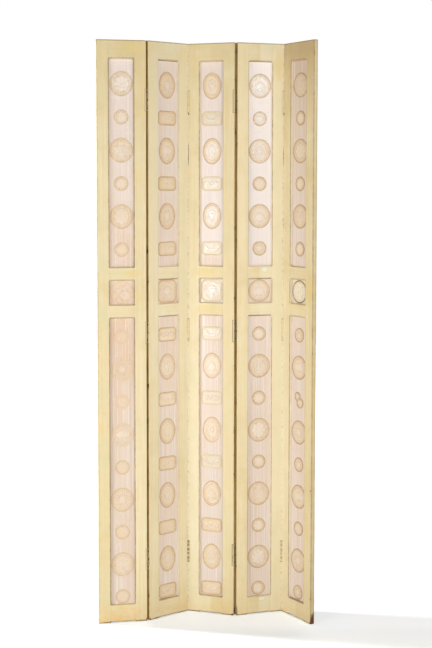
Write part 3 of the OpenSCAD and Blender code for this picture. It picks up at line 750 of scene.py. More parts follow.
def ground_paper(leaf, cream_ground=False):
    """Lilac or cream paper under lacquer, pasted on board: upright streaks, browned areas and wrinkles, with
    painted light and shade in some tones and at the edges.
    """
    c = colours()
    p = Paint(f"ground_paper_{leaf}" + ("_square" if cream_ground else ""))
    spot = p.attribute("spot")
    u, _, z = p.split(spot)
    _, grime, above = p.split(p.attribute("notes"))
    seed = leaf * 5.3
    streaks = p.noise(spot, 1, 3, 0.6, (260, 1, 1.6), seed)
    broad = p.noise(spot, 1, 2, 0.5, (46, 1, 1.1), seed + 3)
    cloud = p.noise(spot, 9, 3, 0.6, shift=seed)
    fibre = p.noise(spot, 260, 4, 0.7, (1, 1, 0.5), seed)
    brown = (browning(p, z, leaf) + (cloud - 0.5) * 0.9 + (broad - 0.5) * 0.5).clamp()
    base = p.mix(brown, c.lilac, c.blush)
    if leaf == 4:
        # Paler high up on leaf 4: partly the paper's tone, partly painted light for the shine of the lacquer
        base = p.mix(z.step(1.2, 1.8) * 0.85, base, c.paper_pale)
    if leaf == 3:
        base = p.mix(z.step(1.56, 1.50) * z.step(1.46, 1.47) * 0.9, base, c.blush)
        base = flushed(p, base, z, cloud, leaf)
    if cream_ground:
        base = p.mix(0.9, base, c.cream)
    if leaf in (1, 5):
        base = flushed(p, base, z, cloud, leaf)
    base = p.mix(streaks.step(0.50, 0.68) * 0.70, base, c.streak_light)
    base = p.mix(streaks.step(0.48, 0.30) * 0.32, base, c.streak_dark)
    base = p.mix(p.noise(spot, 55, 5, 0.75, shift=seed + 4).step(0.64, 0.78) * 0.28, base, c.foxing)
    # Painted light: the board a little paler near its side edges, against the shade of the recess
    base = p.mix(abs(u - 0.1005).step(0.036, 0.046) * 0.15, base, c.streak_light)
    # Dirt and painted shade along the board's edges, from the second note
    base = p.mix((grime * (0.55 + cloud * 0.7)).clamp(), base, c.paper_grime)
    # Painted shadow just under the rail above the board, from the third note
    base = p.mix((above * (1.0 + (cloud - 0.5) * 0.8)).clamp(), base, c.line)
    wrinkle = p.noise(spot, 34, 3, 0.55, (1.6, 1, 0.5), seed + 6)
    crackle = abs(wrinkle - 0.5).step(0.03, 0.0) * cloud.step(0.45, 0.6)
    base = p.mix(crackle * 0.30, base, c.streak_light)
    base = swept(p, base, spot, leaf, 1.0, c.blush)
    height = streaks * 0.20 + cloud * 0.7 + wrinkle * 0.5 + crackle * 0.20 + fibre * 0.1
    if leaf == 4:
        crease = abs((z - 2.085) - (u - 0.1) * 0.9 + (cloud - 0.5) * 0.03).step(0.0035, 0.0)
        crease = crease * abs(u - 0.105).step(0.045, 0.02)
        base = p.mix(crease * 0.6, base, c.streak_light)
        height = height + crease * 1.6
    rough = (0.42 + (cloud - 0.5) * 0.3 + grime * 0.2 + (fibre - 0.5) * 0.15).clamp()
    return p.finish(base, rough, height, 0.0005, coat=0.30, coat_roughness=0.24, specular=0.4)


def back_paint(leaf):
    """Plain cream paint on the backs of the boards, a little dirtier than the frame."""
    c = colours()
    p = Paint(f"back_paint_{leaf}")
    spot = p.attribute("spot")
    seed = leaf * 2.9
    strokes = p.noise(spot, 1, 4, 0.6, (260, 1, 4.0), seed)
    cloud = p.noise(spot, 7, 4, 0.6, shift=seed)
    _, grime, _ = p.split(p.attribute("notes"))
    base = p.mix(cloud.step(0.30, 0.75) * 0.5, c.cream, c.cream_aged)
    base = p.mix(strokes.step(0.5, 0.8) * 0.5, base, c.cream_light)
    specks = p.noise(spot, 90, 4, 0.7, shift=seed).step(0.66, 0.8)
    base = p.mix((grime * 0.5 + specks * 0.3).clamp(), base, c.grime)
    rough = (0.55 + (strokes - 0.5) * 0.2).clamp()
    return p.finish(base, rough, strokes * 0.4 + cloud * 0.4, 0.0005, specular=0.4)


# Each leaf's pictures: how peach low down and high up, how strong their lines, how pale their raised parts
PICTURE_TONES = {1: (0.48, 0.50, 0.60, 0.02), 2: (0.95, 0.95, 1.00, 0.10), 3: (0.85, 1.00, 0.90, 0.04),
                 4: (0.85, 0.70, 0.95, 0.20), 5: (0.80, 0.92, 1.35, 0.14)}
# How full the peach field of each look of picture is, and how strong its outline
LOOKS = {"picture": (1.0, 1.0), "embossed": (0.45, 0.20), "olive": (0.25, 1.0), "scrolled": (0.60, 0.95)}


def paler(leaf, z):
    """Where a leaf's pictures are paler, partly paler paper and partly painted sheen of the lacquer: the
    middle of leaf 3 and the top of leaf 4.
    """
    if leaf == 3:
        return z.step(2.15, 1.95) * z.step(0.90, 1.35) * 0.5
    if leaf == 4:
        return z.step(1.88, 2.10) * 0.65
    return z.step(2.02, 2.12) * (0.08 if leaf == 1 else 0.0)


def picture_paper(leaf, look):
    """Printed and embossed picture: a brown outline, a peach field and pale raised parts, with a painted
    highlight on them and painted shade round them.
    """
    c = colours()
    p = Paint(f"{look}_paper_{leaf}")
    fill, ring = LOOKS[look]
    spot = p.attribute("spot")
    _, _, z = p.split(spot)
    edge, relief, _ = p.split(p.attribute("notes"))
    peach_low, peach_top, lines, pale = PICTURE_TONES[leaf]
    peachy = z.step(0.9, 1.8) * (peach_top - peach_low) + peach_low
    # How pale the pictures are here: their own pallor, and painted sheen where paler() puts it
    pallor_and_sheen = (paler(leaf, z) + pale).clamp()
    seed = leaf * 4.1
    cloud = p.noise(spot, 16, 3, 0.6, shift=seed)
    streaks = p.noise(spot, 1, 3, 0.6, (260, 1, 2.4), seed)
    fibre = p.noise(spot, 300, 4, 0.7, shift=seed)
    dots = p.noise(spot, 85, 4, 0.7, shift=seed + 2)
    brown = (browning(p, z, leaf) + (cloud - 0.5)).clamp()
    field = flushed(p, p.mix(brown, c.lilac, c.blush), z, cloud, leaf)
    if look == "olive":
        field = p.mix(0.9, field, c.field_cream)
    rim = edge.step(0.024, 0.008)
    peach = (0.20 + 0.60 * peachy + rim * 0.2 + (cloud - 0.5) * 0.7
             - pallor_and_sheen * (1 - rim * 0.5) * 0.6).clamp()
    base = p.mix((peach * fill).clamp(), field, p.mix(rim, c.peach_pale, c.peach))
    if look == "scrolled":
        base = p.mix(0.60, base, c.field_scrolled)
    if look == "embossed":
        base = p.mix(relief.step(0.30, 0.75) * 0.24, base, c.relief_cream)
        base = p.mix(dots.step(0.50, 0.66) * z.step(1.29, 1.31) * 0.45, base, c.relief_speck)
    brushed = p.noise(spot, 75, 5, 0.75, (1, 1, 0.6), seed + 7).step(0.42, 0.60) * edge.step(0.007, 0.013)
    raised = (relief.step(0.12, 0.75) * 0.75 + brushed * 0.6) * dots.step(0.30, 0.50)
    # Raised parts in pearl: their pale colour, and a painted highlight that is strongest where the lacquer
    # shines
    base = p.mix((raised * pallor_and_sheen * 1.6).clamp(), base, c.pearl)
    # Painted shade: a dark ring at the foot of the raised parts, in the foxing colour
    sunk = relief.step(0.0, 0.10) * relief.step(0.34, 0.14)
    base = p.mix((sunk * (0.25 + dots.step(0.45, 0.60) * 0.5)).clamp(), base, c.foxing)
    base = p.mix(streaks.step(0.52, 0.74) * 0.25, base, c.streak_light)
    base = p.mix(streaks.step(0.46, 0.25) * 0.16, base, c.streak_dark)
    line = edge.step(0.0092, 0.0030) * (0.62 + (dots - 0.5) * 1.3)
    line = line + abs(edge - 0.0112).step(0.0018, 0.0) * 0.10
    tint = {"olive": c.olive, "scrolled": c.scallop}.get(look, c.outline)
    base = p.mix((line * ring * lines).clamp(), base, tint)
    base = p.mix((dots.step(0.62, 0.74) * (0.18 + pallor_and_sheen * 0.35)).clamp(), base, c.foxing)
    base = swept(p, base, spot, leaf, 0.7, c.foxing)
    height = fibre * 0.12 + cloud * 0.5 + dots * 0.15
    rough = (0.36 + (cloud - 0.5) * 0.3 + (fibre - 0.5) * 0.2).clamp()
    return p.finish(base, rough, height, 0.0004, coat=0.45, coat_roughness=0.18)


def bead_paper(leaf):
    """Pale pearl of the beads."""
    c = colours()
    p = Paint(f"bead_paper_{leaf}")
    place = p.node("ShaderNodeTexCoord", output=3)
    cloud = p.noise(place, 60, 3, 0.6)
    fine = p.noise(place, 900, 2, 0.5)
    base = p.mix((cloud.step(0.35, 0.7) + 0.80 - PICTURE_TONES[leaf][3]).clamp(), c.pearl, c.peach_pale)
    base = p.mix(fine.step(0.55, 0.75) * 0.4, base, c.outline)
    return p.finish(base, (0.35 + (fine - 0.5) * 0.3).clamp(), fine, 0.0002, coat=0.5, coat_roughness=0.16)


def at_fold(x, leaf):
    """Where a place is near the fold at the left edge of a leaf."""
    return abs(x - leaf.origin[0]).step(0.035, 0.025)


def painted_iron():
    """Hinge iron under old cream paint that has broken off the knuckles."""
    c, s = colours(), sizes()
    p = Paint("painted_iron")
    place = p.node("ShaderNodeTexCoord", output=3)
    x, y, z = p.split(place)
    _, second, third, fourth, fifth = stand_leaves()
    cloud = p.noise(place, 60, 4, 0.65)
    broken = p.noise(place, 130, 5, 0.7, shift=3)
    rust = p.noise(place, 240, 4, 0.7, shift=9)
    base = p.mix(cloud.step(0.35, 0.7), c.cream, c.cream_aged)
    base = p.mix(broken.step(0.56, 0.66) * 0.35, base, c.grime)
    gone = broken.step(0.67, 0.71)
    base = p.mix(gone, base, p.mix(rust.step(0.4, 0.65), c.iron, c.rust))
    # Painted shade: plates deep in the two folds that open to the front are darker, where little light
    # reaches them
    deep = [at_fold(x, leaf) * (y - leaf.origin[1]).step(0.0010, 0.0060) * dark
            for leaf, dark in ((second, 0.35), (fourth, 0.60))]
    base = p.mix(highest(p, deep), base, c.iron_deep)
    first_joint = heights()["hinges"][0] - s.hinge_l / 2
    turn = p.math("FRACT", (z - first_joint) * (KNUCKLES / s.hinge_l))
    joint = abs(turn - 0.5).step(0.16, 0.44)
    worn = [at_fold(x, leaf) * z.step(0.45, 0.35) * dark for leaf, dark in ((third, 1.0), (fifth, 0.45))]
    worn = highest(p, worn) * (joint * 0.70 + broken.step(0.46, 0.60) * 0.70).clamp()
    base = p.mix(worn, base, c.iron_worn)
    height = cloud * 0.5 - gone * 0.8 + rust * 0.15
    return p.finish(base, (0.45 + gone * 0.2).clamp(), height, 0.0004, metallic=gone * 0.3, specular=0.4)


def dull_steel(name, shift):
    """Old steel with rust in its hollows and traces of paint."""
    c = colours()
    p = Paint(name)
    place = p.node("ShaderNodeTexCoord", output=3)
    cloud = p.noise(place, 150, 4, 0.7, shift=shift)
    scratches = p.noise(place, 1, 3, 0.6, (900, 900, 60), shift)
    base = p.mix(cloud.step(0.36, 0.58), c.steel, c.steel_rust)
    base = p.mix(cloud.step(0.60, 0.66) * 0.8, base, c.cream_aged)
    return p.finish(base, (0.45 + cloud * 0.4).clamp(), scratches * 0.4 + cloud * 0.5, 0.0002,
                    metallic=(0.75 - cloud.step(0.42, 0.60) * 0.75))


def floor_paint():
    """Pale studio floor that shows white where nothing shades it, and everywhere some way off, with painted
    light and a painted shadow near the screen.
    """
    studio, c = bpy.context.scene.screen_studio, colours()
    p = Paint("studio_floor")
    place = p.node("ShaderNodeTexCoord", output=3)
    x, y, _ = p.split(place)
    mottle = p.noise(place, 3, 2, 0.5)
    away = p.math("SQRT", x * x + y * y)
    # Bluish near the screen: a painted tint that cancels the warm light the leaves throw on the floor
    tone = p.mix(away.step(0.75, 0.35) * 0.8, p.mix(mottle, c.floor_grey, c.floor_white), c.floor_blue)
    diffuse = p.tree.nodes.new("ShaderNodeBsdfDiffuse")
    p.feed(diffuse.inputs[0], tone)
    glow = p.tree.nodes.new("ShaderNodeEmission")
    seen = p.node("ShaderNodeLightPath")
    # Glow for the camera that rises away from the screen; behind it and to its right the glow is painted
    # light that evens out and hides the lamps' shadows
    lift = away.step(1.3, 2.4) * 0.45 + y.step(0.15, 0.5) * 0.12 + x.step(0.2, 0.6) * 0.09
    # Painted shadow: under and just before the leaves, right of leaf 1, the floor is a little darker
    before = (y + 0.134 + (x + 0.236) * 0.246).step(-0.02, 0.03) * x.step(-0.26, -0.20) * y.step(0.13, 0.09)
    lift = lift - before * (x.step(0.48, 0.32) * 0.10 + y.step(-0.10, -0.20) * 0.05)
    p.feed(glow.inputs["Strength"], seen * (lift + studio.floor_glow))
    total = p.tree.nodes.new("ShaderNodeAddShader")
    out = p.tree.nodes.new("ShaderNodeOutputMaterial")
    p.tree.links.new(diffuse.outputs[0], total.inputs[0])
    p.tree.links.new(glow.outputs[0], total.inputs[1])
    p.tree.links.new(total.outputs[0], out.inputs[0])
    return p.material


# Stiles

FRONT, BACK = "front", "back"
# How dark the rubbed inner edges of each leaf's left and right stile are
EDGE_LINES = {1: (0.7, 0.85), 2: (0.3, 0.25), 3: (0.85, 0.35), 4: (0.75, 0.7), 5: (0.8, 0.3)}
# How dark the free edges of the first and last leaf are
FREE_LINES = {1: 0.35, 5: 0.50}
# A stile's rings stand this far apart, and closer at its worn ends
RING_STEP = 0.0125
WORN_ENDS = (0.0009, 0.0022)
# How far mesh lines lie on either side of a change along a stile
BESIDE = 0.00002


def hinge_face(leaf, right):
    """The face that the pin of a stile's hinges lies at, or nothing where the edge is free."""
    fold = leaf if right else leaf - 1
    if fold in (0, 5):
        return None
    return BACK if fold in (1, 3) else FRONT


def stile_ring(z, seed, pocket, housed, grooved, joined, pin_face, line, free_line):
    """Outline of a stile at one height: x from its outer edge inwards, d from the pin's face, and notes.

    pocket, housed, grooved and joined say whether a barrel, a plate, a board and a rail meet it there.
    """
    s = sizes()
    wall = s.plate_t if housed else 0.0
    near = rubbed(s.arris, z, seed) if pin_face is None else s.pin_arris
    far = rubbed(s.arris, z, seed + 11)
    inner = s.joint_arris if joined else rubbed(s.arris * 0.75, z, seed + 23)
    if pocket:
        radius = s.barrel / 2 + s.pocket_gap
        start = math.degrees(math.acos((wall + s.pin_off) / radius))
        end = math.degrees(math.asin(s.pin_proud / radius))
        corner = arc(-s.pin_off, -s.pin_proud, radius, start, end, 7)
    else:
        corner = arc(near, near, near, 180, 270, 7)
        if pin_face and not housed:
            # Paint has built up into a lip where two leaves close on each other
            lip = s.paint_lip
            corner = [(0, 0.0026), (-lip * 0.75, 0.0012), (-lip, 0.0002), (-lip, -lip * 0.75),
                      (-lip * 0.75, -lip), (0.0008, -lip), (0.0022, -lip * 0.2)]
    groove_near, groove_far = s.recess - s.board_play / 2, s.recess + s.board_t + s.board_play / 2
    if pin_face == BACK:
        groove_near, groove_far = s.leaf_t - groove_far, s.leaf_t - groove_near
    floor = s.stile_w - (s.groove if grooved else 0)
    across = [0.0056, 0.013, s.stile_w / 2] + [s.stile_w - edge for edge in (0.0075, 0.0034, 0.0024)]
    dark = 0 if joined else line
    ring = [((wall, s.leaf_t * 0.62), (0.05, 0.1, 0)), ((wall, s.leaf_t * 0.30), (0.05, 0.1, 0))]
    ring += [(point, (0.5 if pocket else 1, 0.5 if pocket else 0, free_line)) for point in corner]
    ring += [((x, 0), (0.25 if i == 0 else 0.05, 0, 0.8 * dark * (i == 5))) for i, x in enumerate(across)]
    ring += [(point, (0.9, 0, dark)) for point in arc(s.stile_w - inner, inner, inner, 270, 360, 4)]
    # A third note of -1 marks the inner face for the paler paint, which is partly painted light
    ring += [((s.stile_w, inner + 0.0012), (0.1, 0, -1)), ((s.stile_w, groove_near - 0.0012), (0, 0.05, -1))]
    ring += [((s.stile_w, groove_near), (0, 0.7, -1)), ((floor, groove_near), (0, 1, 0)),
             ((floor, groove_far), (0, 1, 0)), ((s.stile_w, groove_far), (0, 1, 0))]
    ring += [(point, (0.9, 0, dark))
             for point in arc(s.stile_w - inner, s.leaf_t - inner, inner, 0, 90, 4)]
    ring += [((x, s.leaf_t), (0.05, 0, 0)) for x in reversed(across)]
    outer = [(wall, s.leaf_t)] * 4 if housed else arc(far, s.leaf_t - far, far, 90, 180, 4)
    ring += [(point, (0.9, 0, free_line)) for point in outer]
    return ring


def stile_shape(leaf, right):
    """A full-height stile with rubbed arrises, a groove for each board, and housings for its hinges."""
    s, h = sizes(), heights()
    pin_face = hinge_face(leaf, right)
    free = pin_face is None
    hinges = [] if free else h["hinges"]
    pocket, housing = s.hinge_l / 2 + s.pin_head + s.pocket_gap, s.hinge_l / 2 + s.plate_gap
    pockets = [(z - pocket, z + pocket) for z in hinges]
    housings = [(z - housing, z + housing) for z in hinges]
    grooves = [(low - s.groove, high + s.groove) for low, high in h["insets"].values()]
    rails = [(low - 0.001, high + 0.001) for low, high in h["rails"].values()]
    levels = {0.0, *WORN_ENDS, *(s.leaf_h - end for end in WORN_ENDS), s.leaf_h}
    steps = int(s.leaf_h / RING_STEP)
    levels |= {s.leaf_h * i / steps for i in range(1, steps)}
    for low, high in pockets + housings + grooves + rails:
        levels |= {z + side for z in (low, high) for side in (-BESIDE, BESIDE) if 0 < z + side < s.leaf_h}
    seed = leaf * 7 + (3 if right else 0)
    rings, notes = [], []
    line, free_line = EDGE_LINES[leaf][right], FREE_LINES[leaf] if free else 0
    for z in sorted(levels):
        ring = stile_ring(z, seed, inside(z, pockets), inside(z, housings), inside(z, grooves),
                          inside(z, rails), pin_face, line, free_line)
        end = min(z, s.leaf_h - z)
        shrink = WORN_ENDS[0] if end < 0.0001 else 0.0
        points, marks = [], []
        for (x, d), (wear, grime, extra) in ring:
            if shrink:
                x, d = min(max(x, shrink), s.stile_w - shrink), min(max(d, shrink), s.leaf_t - shrink)
            w = s.leaf_t - d if pin_face == BACK else d
            u = s.leaf_w - x if right else x
            points.append((u, w, z))
            marks.append((max(wear, 0.9 if end < 0.001 else 0), grime, extra))
        rings.append(points)
        notes.append(marks)
    shape = Shape("z")
    ring_slots = [0] * len(rings[0])
    if not free:
        for i in (0, 1, 2, 3, 4, -1, -2, -3):
            ring_slots[i] = 1
    shape.loft(rings, notes, ring_slots)
    return shape


# Rails

def rail_ring(u, low, high, groove_low, groove_high, seed, end_gap, sink, ledge):
    """Outline of a rail at one place along it: w from the front and z, and notes.

    end_gap draws it in at the rail's ends, sink is how far it lies behind the stiles, ledge tones its top.
    """
    s = sizes()
    groove_near, groove_far = s.recess - s.board_play / 2, s.recess + s.board_t + s.board_play / 2
    lower = rubbed(s.arris * (0.7 if groove_low else 1), u + low, seed)
    upper = rubbed(s.arris * (0.7 if groove_high else 1), u + low, seed + 5)
    front, back = sink, s.leaf_t - sink * 0.4
    ring = [(point, (0.9, 0, 0.5)) for point in arc(front + lower, low + lower, lower, 270, 180, 4)]
    ring += [((front, low + 0.0055), (0.05, 0, 0)), ((front, (low + high) / 2), (0, 0, 0)),
             ((front, high - 0.0055), (0.05, 0, 0))]
    ring += [(point, (0.6, 0, max(ledge, 0)))
             for point in arc(front + upper, high - upper, upper, 180, 90, 4)]
    depth = s.groove if groove_high else 0
    ring += [((front + upper + 0.0012, high), (0.1, 0, ledge * 0.7)),
             ((groove_near - 0.0006, high), (0, 0, ledge)), ((groove_near, high), (0, 0.3, ledge)),
             ((groove_near, high - depth), (0, 1, 0)), ((groove_far, high - depth), (0, 1, 0)),
             ((groove_far, high), (0, 1, 0))]
    ring += [(point, (0.9, 0, 0)) for point in arc(back - upper, high - upper, upper, 90, 0, 4)]
    ring += [((back, high - 0.0055), (0.05, 0, 0)), ((back, low + 0.0055), (0.05, 0, 0))]
    ring += [(point, (0.9, 0, 0)) for point in arc(back - lower, low + lower, lower, 0, -90, 4)]
    depth = s.groove if groove_low else 0
    # A third note of -0.5 on the underside gives it some of the paler paint, which is partly painted light
    ring += [((groove_far, low), (0, 1, 0)), ((groove_far, low + depth), (0, 1, 0)),
             ((groove_near, low + depth), (0, 1, 0)), ((groove_near, low), (0, 1, 0)),
             ((groove_near - 0.0012, low), (0, 0.05, -0.5)),
             ((front + lower + 0.0012, low), (0.15, 0, -0.5))]
    points = [(u, min(max(w, end_gap), s.leaf_t - end_gap), min(max(z, low + end_gap), high - end_gap))
              for (w, z), _ in ring]
    return points, [(max(note[0], 0.35 if end_gap else 0), max(note[1], 0.8 if end_gap else 0), note[2])
                    for _, note in ring]


# How brown the ledge under each leaf's lower inset is
LEDGES = {1: 0.20, 2: 0.50, 3: 0.50, 4: 0.25, 5: 0.80}


def rail_shape(leaf, names):
    """The rails of the given names between the stiles, each a hair behind the stiles' face."""
    s, h = sizes(), heights()
    shape = Shape("u")
    for name in names:
        low, high = h["rails"][name]
        seed = leaf * 5 + low * 9
        sink = 0.00012 + 0.0001 * noise.noise(Vector((seed, 1.5, 2.5)))
        left, right = s.stile_w, s.leaf_w - s.stile_w
        inner = [left + s.joint_arris + (right - left - 2 * s.joint_arris) * i / 16 for i in range(17)]
        rings, notes = [], []
        for u in [left] + inner + [right]:
            gap = s.joint_arris if u in (left, right) else 0.0
            points, marks = rail_ring(u, low, high, name != "bottom", name != "top", seed, gap, sink,
                                      LEDGES[leaf] if name == "bottom" else -1)
            rings.append(points)
            notes.append(marks)
        shape.loft(rings, notes, [0] * len(rings[0]))
    return shape


# Boards

# How dark the left and right edges of each leaf's boards are: dirt in the corner, and painted shade where the
# stile beside it shades the board
BOARD_EDGE_DIRT_AND_SHADE = {1: (0.75, 0.10), 2: (0.45, 0.0), 3: (0.05, 0.75), 4: (0.75, 0.10), 5: (0.10, 1.25)}
# How dark the painted shadow line under the rail above them is
TOP_SHADOW_LINES = {1: 0.5, 2: 1.15, 3: 0.5, 4: 1.15, 5: 0.7}
# Mesh lines of a board, in from its opening, and the spacing of its rows between them
BORDERS = (-0.0005, 0.0012, 0.0024, 0.0034, 0.0044, 0.0075)
BOARD_CELL = 0.005
BOARD_COLUMNS = 18
# A board lies flat this close to the frame
FLAT_BORDER = 0.002
# Widths of the strong and the faint dirt and painted shade at a board's edges, and of the painted shadow line
# under the rail above it
DARK_EDGE_WIDTH, FAINT_EDGE_WIDTH, SHADOW_LINE_WIDTH = 0.0026, 0.0050, 0.0034


def board_dent(leaf, u, z):
    """How far a board's front lies behind its nominal place: slow waves of the glued paper."""
    s = sizes()
    broad = noise.noise(Vector((u * 18, z * 5, leaf * 3.1)))
    fine = noise.noise(Vector((u * 40, z * 16, leaf)))
    return s.wave * min(1, max(0, 0.5 + 0.5 * (broad + 0.5 * fine)))


def board_shape(leaf, inset):
    """A thin board in the grooves, its front gently wavy."""
    s = sizes()
    low, high = heights()["insets"][inset]
    slack = s.groove - s.swell_gap
    left, right = s.stile_w - slack, s.leaf_w - s.stile_w + slack
    bottom, top = low - s.groove, high + slack
    border = BORDERS[-1]
    wide, tall = s.leaf_w - 2 * s.stile_w - 2 * border, high - low - 2 * border
    columns = [left] + [s.stile_w + b for b in BORDERS]
    columns += [s.stile_w + border + wide * i / BOARD_COLUMNS for i in range(1, BOARD_COLUMNS)]
    columns += [s.leaf_w - s.stile_w - b for b in reversed(BORDERS)] + [right]
    steps = int(tall / BOARD_CELL)
    rows = [bottom] + [low + b for b in BORDERS[:-1]]
    rows += [low + border + tall * i / steps for i in range(steps + 1)]
    rows += [high - b for b in reversed(BORDERS[:-1])] + [top]
    dirt, above = BOARD_EDGE_DIRT_AND_SHADE[leaf], TOP_SHADOW_LINES[leaf] * (1.0 if inset == "lower" else 0.75)
    points, notes = [], []
    for z in rows:
        for u in columns:
            near_left, near_right = u - s.stile_w, s.leaf_w - s.stile_w - u
            waved = min(near_left, near_right, z - low, high - z) >= FLAT_BORDER
            points.append((u, s.recess + waved * board_dent(leaf, u, z), z))
            # The second note is dirt and painted shade along the board's edges
            side, strength = min((near_left, dirt[0]), (near_right, dirt[1]))
            shade = strength * (1.0 if side < DARK_EDGE_WIDTH else 0.12 if side < FAINT_EDGE_WIDTH else 0.0)
            # The third note is the painted shadow line just under the rail above
            notes.append((0, max(shade, 0.2 * (z - low < 0.001)), above if high - z < SHADOW_LINE_WIDTH else 0))
    wide, tall = len(columns), len(rows)
    faces = [(r * wide + i, r * wide + i + 1, (r + 1) * wide + i + 1, (r + 1) * wide + i)
             for r in range(tall - 1) for i in range(wide - 1)]
    slots = [0] * len(faces)
    loop = [*range(wide), *(r * wide + wide - 1 for r in range(1, tall))]
    loop += [(tall - 1) * wide + i for i in range(wide - 2, -1, -1)]
    loop += [r * wide for r in range(tall - 2, 0, -1)]
    first = len(points)
    back = s.recess + s.board_t
    points += [(points[i][0], back, points[i][2]) for i in loop]
    notes += [(0, 0.2, 0)] * len(loop)
    count = len(loop)
    faces += [(loop[i], loop[(i + 1) % count], first + (i + 1) % count, first + i) for i in range(count)]
    slots += [1] * count
    faces.append(tuple(first + i for i in range(count)))
    slots.append(1)
    shape = Shape("z")
    shape.add(points, notes, faces, slots)
    return shape


# Pictures: outlines and embossed ornaments

def outline_of(kind):
    """Half width, half height and corner radius of a kind of picture; no radius means an ellipse."""
    s, m = sizes(), pictures()
    room = s.leaf_w - 2 * s.stile_w - 2 * m.margin
    if kind == "large":
        return min(m.big_w, room) / 2, m.big_h / 2, None
    if kind == "oval":
        return min(m.oval_w, room) / 2, m.oval_h / 2, None
    if kind == "small":
        return m.small / 2, m.small / 2, None
    if kind == "oblong":
        return min(m.oblong_w, room) / 2, m.oblong_h / 2, m.oblong_r
    size = min(m.square_round, room, s.square_inset - 2 * m.margin) / 2
    return size, size, m.cushion_r if kind == "cushion" else None


def outline_points(half_w, half_h, corner, inset, count):
    """Points round an outline that is drawn in by inset, evenly spread by angle or by length."""
    a, b = half_w - inset, half_h - inset
    if corner is None:
        turn = np.linspace(0, 2 * math.pi, count, endpoint=False)
        return np.column_stack((a * np.cos(turn), b * np.sin(turn)))
    r = max(corner - inset, 0.0005)
    arc_count = count // 4 // 2
    fill = count // 4 - arc_count
    points = []
    corners = (((1, 1), 0, (r - a, b)), ((-1, 1), 90, (-a, r - b)),
               ((-1, -1), 180, (a - r, -b)), ((1, -1), 270, (a, b - r)))
    for (sign_x, sign_y), start, target in corners:
        points += arc(sign_x * (a - r), sign_y * (b - r), r, start, start + 90, arc_count)
        last = points[-1]
        steps = [i / (fill + 1) for i in range(1, fill + 1)]
        points += [(last[0] + (target[0] - last[0]) * t, last[1] + (target[1] - last[1]) * t) for t in steps]
    return np.array(points)


def hump(distance, width):
    """A rounded ridge: 1 on the line and 0 at its width."""
    return np.sqrt(np.clip(1 - (distance / width) ** 2, 0, 1))


def blob(x, y, cx, cy, rx, ry, turn=0.0):
    """A raised oval spot."""
    co, si = math.cos(turn), math.sin(turn)
    dx, dy = x - cx, y - cy
    along, side = dx * co + dy * si, -dx * si + dy * co
    return np.sqrt(np.clip(1 - (along / rx) ** 2 - (side / ry) ** 2, 0, 1))


def leaf_blade(x, y, cx, cy, size, turn):
    """A pointed leaf with a sunk midrib, lying along the direction turn."""
    co, si = math.cos(turn), math.sin(turn)
    along = ((x - cx) * co + (y - cy) * si) / size
    side = (-(x - cx) * si + (y - cy) * co) / size
    width = 0.30 * np.sqrt(np.clip(1 - along ** 2, 0, 1)) * (1 - 0.35 * along)
    body = np.clip(1 - (side / np.maximum(width, 1e-4)) ** 2, 0, 1)
    body = np.where(np.abs(along) < 1, np.sqrt(body), 0)
    return body * (1 - 0.45 * np.exp(-(side / 0.05) ** 2))


def most(*fields):
    """The highest of some fields at each place."""
    result = fields[0]
    for field in fields[1:]:
        result = np.maximum(result, field)
    return result


def rosette(x, y):
    """A flower of eight petals round a boss."""
    r, a = np.hypot(x, y), np.arctan2(y, x)
    outer = np.clip(np.abs(np.cos(4 * a)) ** 0.6, 0, 1) * hump(r - 0.52, 0.34)
    inner = np.abs(np.sin(4 * a)) ** 0.8 * hump(r - 0.26, 0.16) * 0.8
    return most(outer, inner, blob(x, y, 0, 0, 0.14, 0.14))


def wreath(x, y):
    """A laurel wreath with a small flower inside it."""
    field = blob(x, y, 0, 0, 0.09, 0.09)
    for i in range(6):
        a = math.radians(60 * i)
        field = most(field, blob(x, y, 0.2 * math.cos(a), 0.2 * math.sin(a), 0.14, 0.07, a) * 0.8)
    for i in range(22):
        a = math.radians(360 * i / 22)
        for side in (-0.09, 0.09):
            r = 0.68 + side
            tilt = a + math.pi / 2 + (0.5 if side > 0 else -0.5)
            field = most(field, leaf_blade(x, y, r * math.cos(a), r * math.sin(a), 0.15, tilt))
    return field


def urn(x, y):
    """A footed urn with two handles and three flowers."""
    body = np.where((y > -0.35) & (y < 0.18), hump(x, np.maximum(0.13 + 0.27 * (y + 0.35) / 0.53, 0.05)), 0)
    rim = blob(x, y, 0, 0.2, 0.40, 0.07)
    foot = most(np.where((y > -0.5) & (y < -0.33), hump(x, 0.07), 0), blob(x, y, 0, -0.53, 0.24, 0.06))
    handles = most(*[hump(np.hypot(x - side * 0.42, y + 0.02) - 0.15, 0.045) for side in (-1, 1)])
    flowers = most(*[blob(x, y, cx, cy, 0.15, 0.13) for cx, cy in ((-0.22, 0.42), (0, 0.54), (0.22, 0.42))])
    stems = most(*[leaf_blade(x, y, cx, 0.36, 0.22, turn) for cx, turn in ((-0.34, 2.5), (0.34, 0.64))])
    return most(body * 0.9, rim, foot, handles * 0.8, flowers, stems * 0.8)


def shell(x, y):
    """A ribbed scallop shell on two scrolls."""
    r, a = np.hypot(x, y + 0.5), np.arctan2(x, y + 0.5)
    ribs = 0.55 + 0.45 * np.abs(np.cos(a * 7))
    edge = 0.92 + 0.05 * np.abs(np.cos(a * 7))
    fan = np.where((r < edge) & (np.abs(a) < 1.15), ribs * np.clip(r / 0.5, 0, 1), 0)
    scrolls = most(*[hump(np.hypot(x - side * 0.3, y + 0.55) - 0.11, 0.05) for side in (-1, 1)])
    return most(fan, scrolls, blob(x, y, 0, -0.55, 0.12, 0.1))


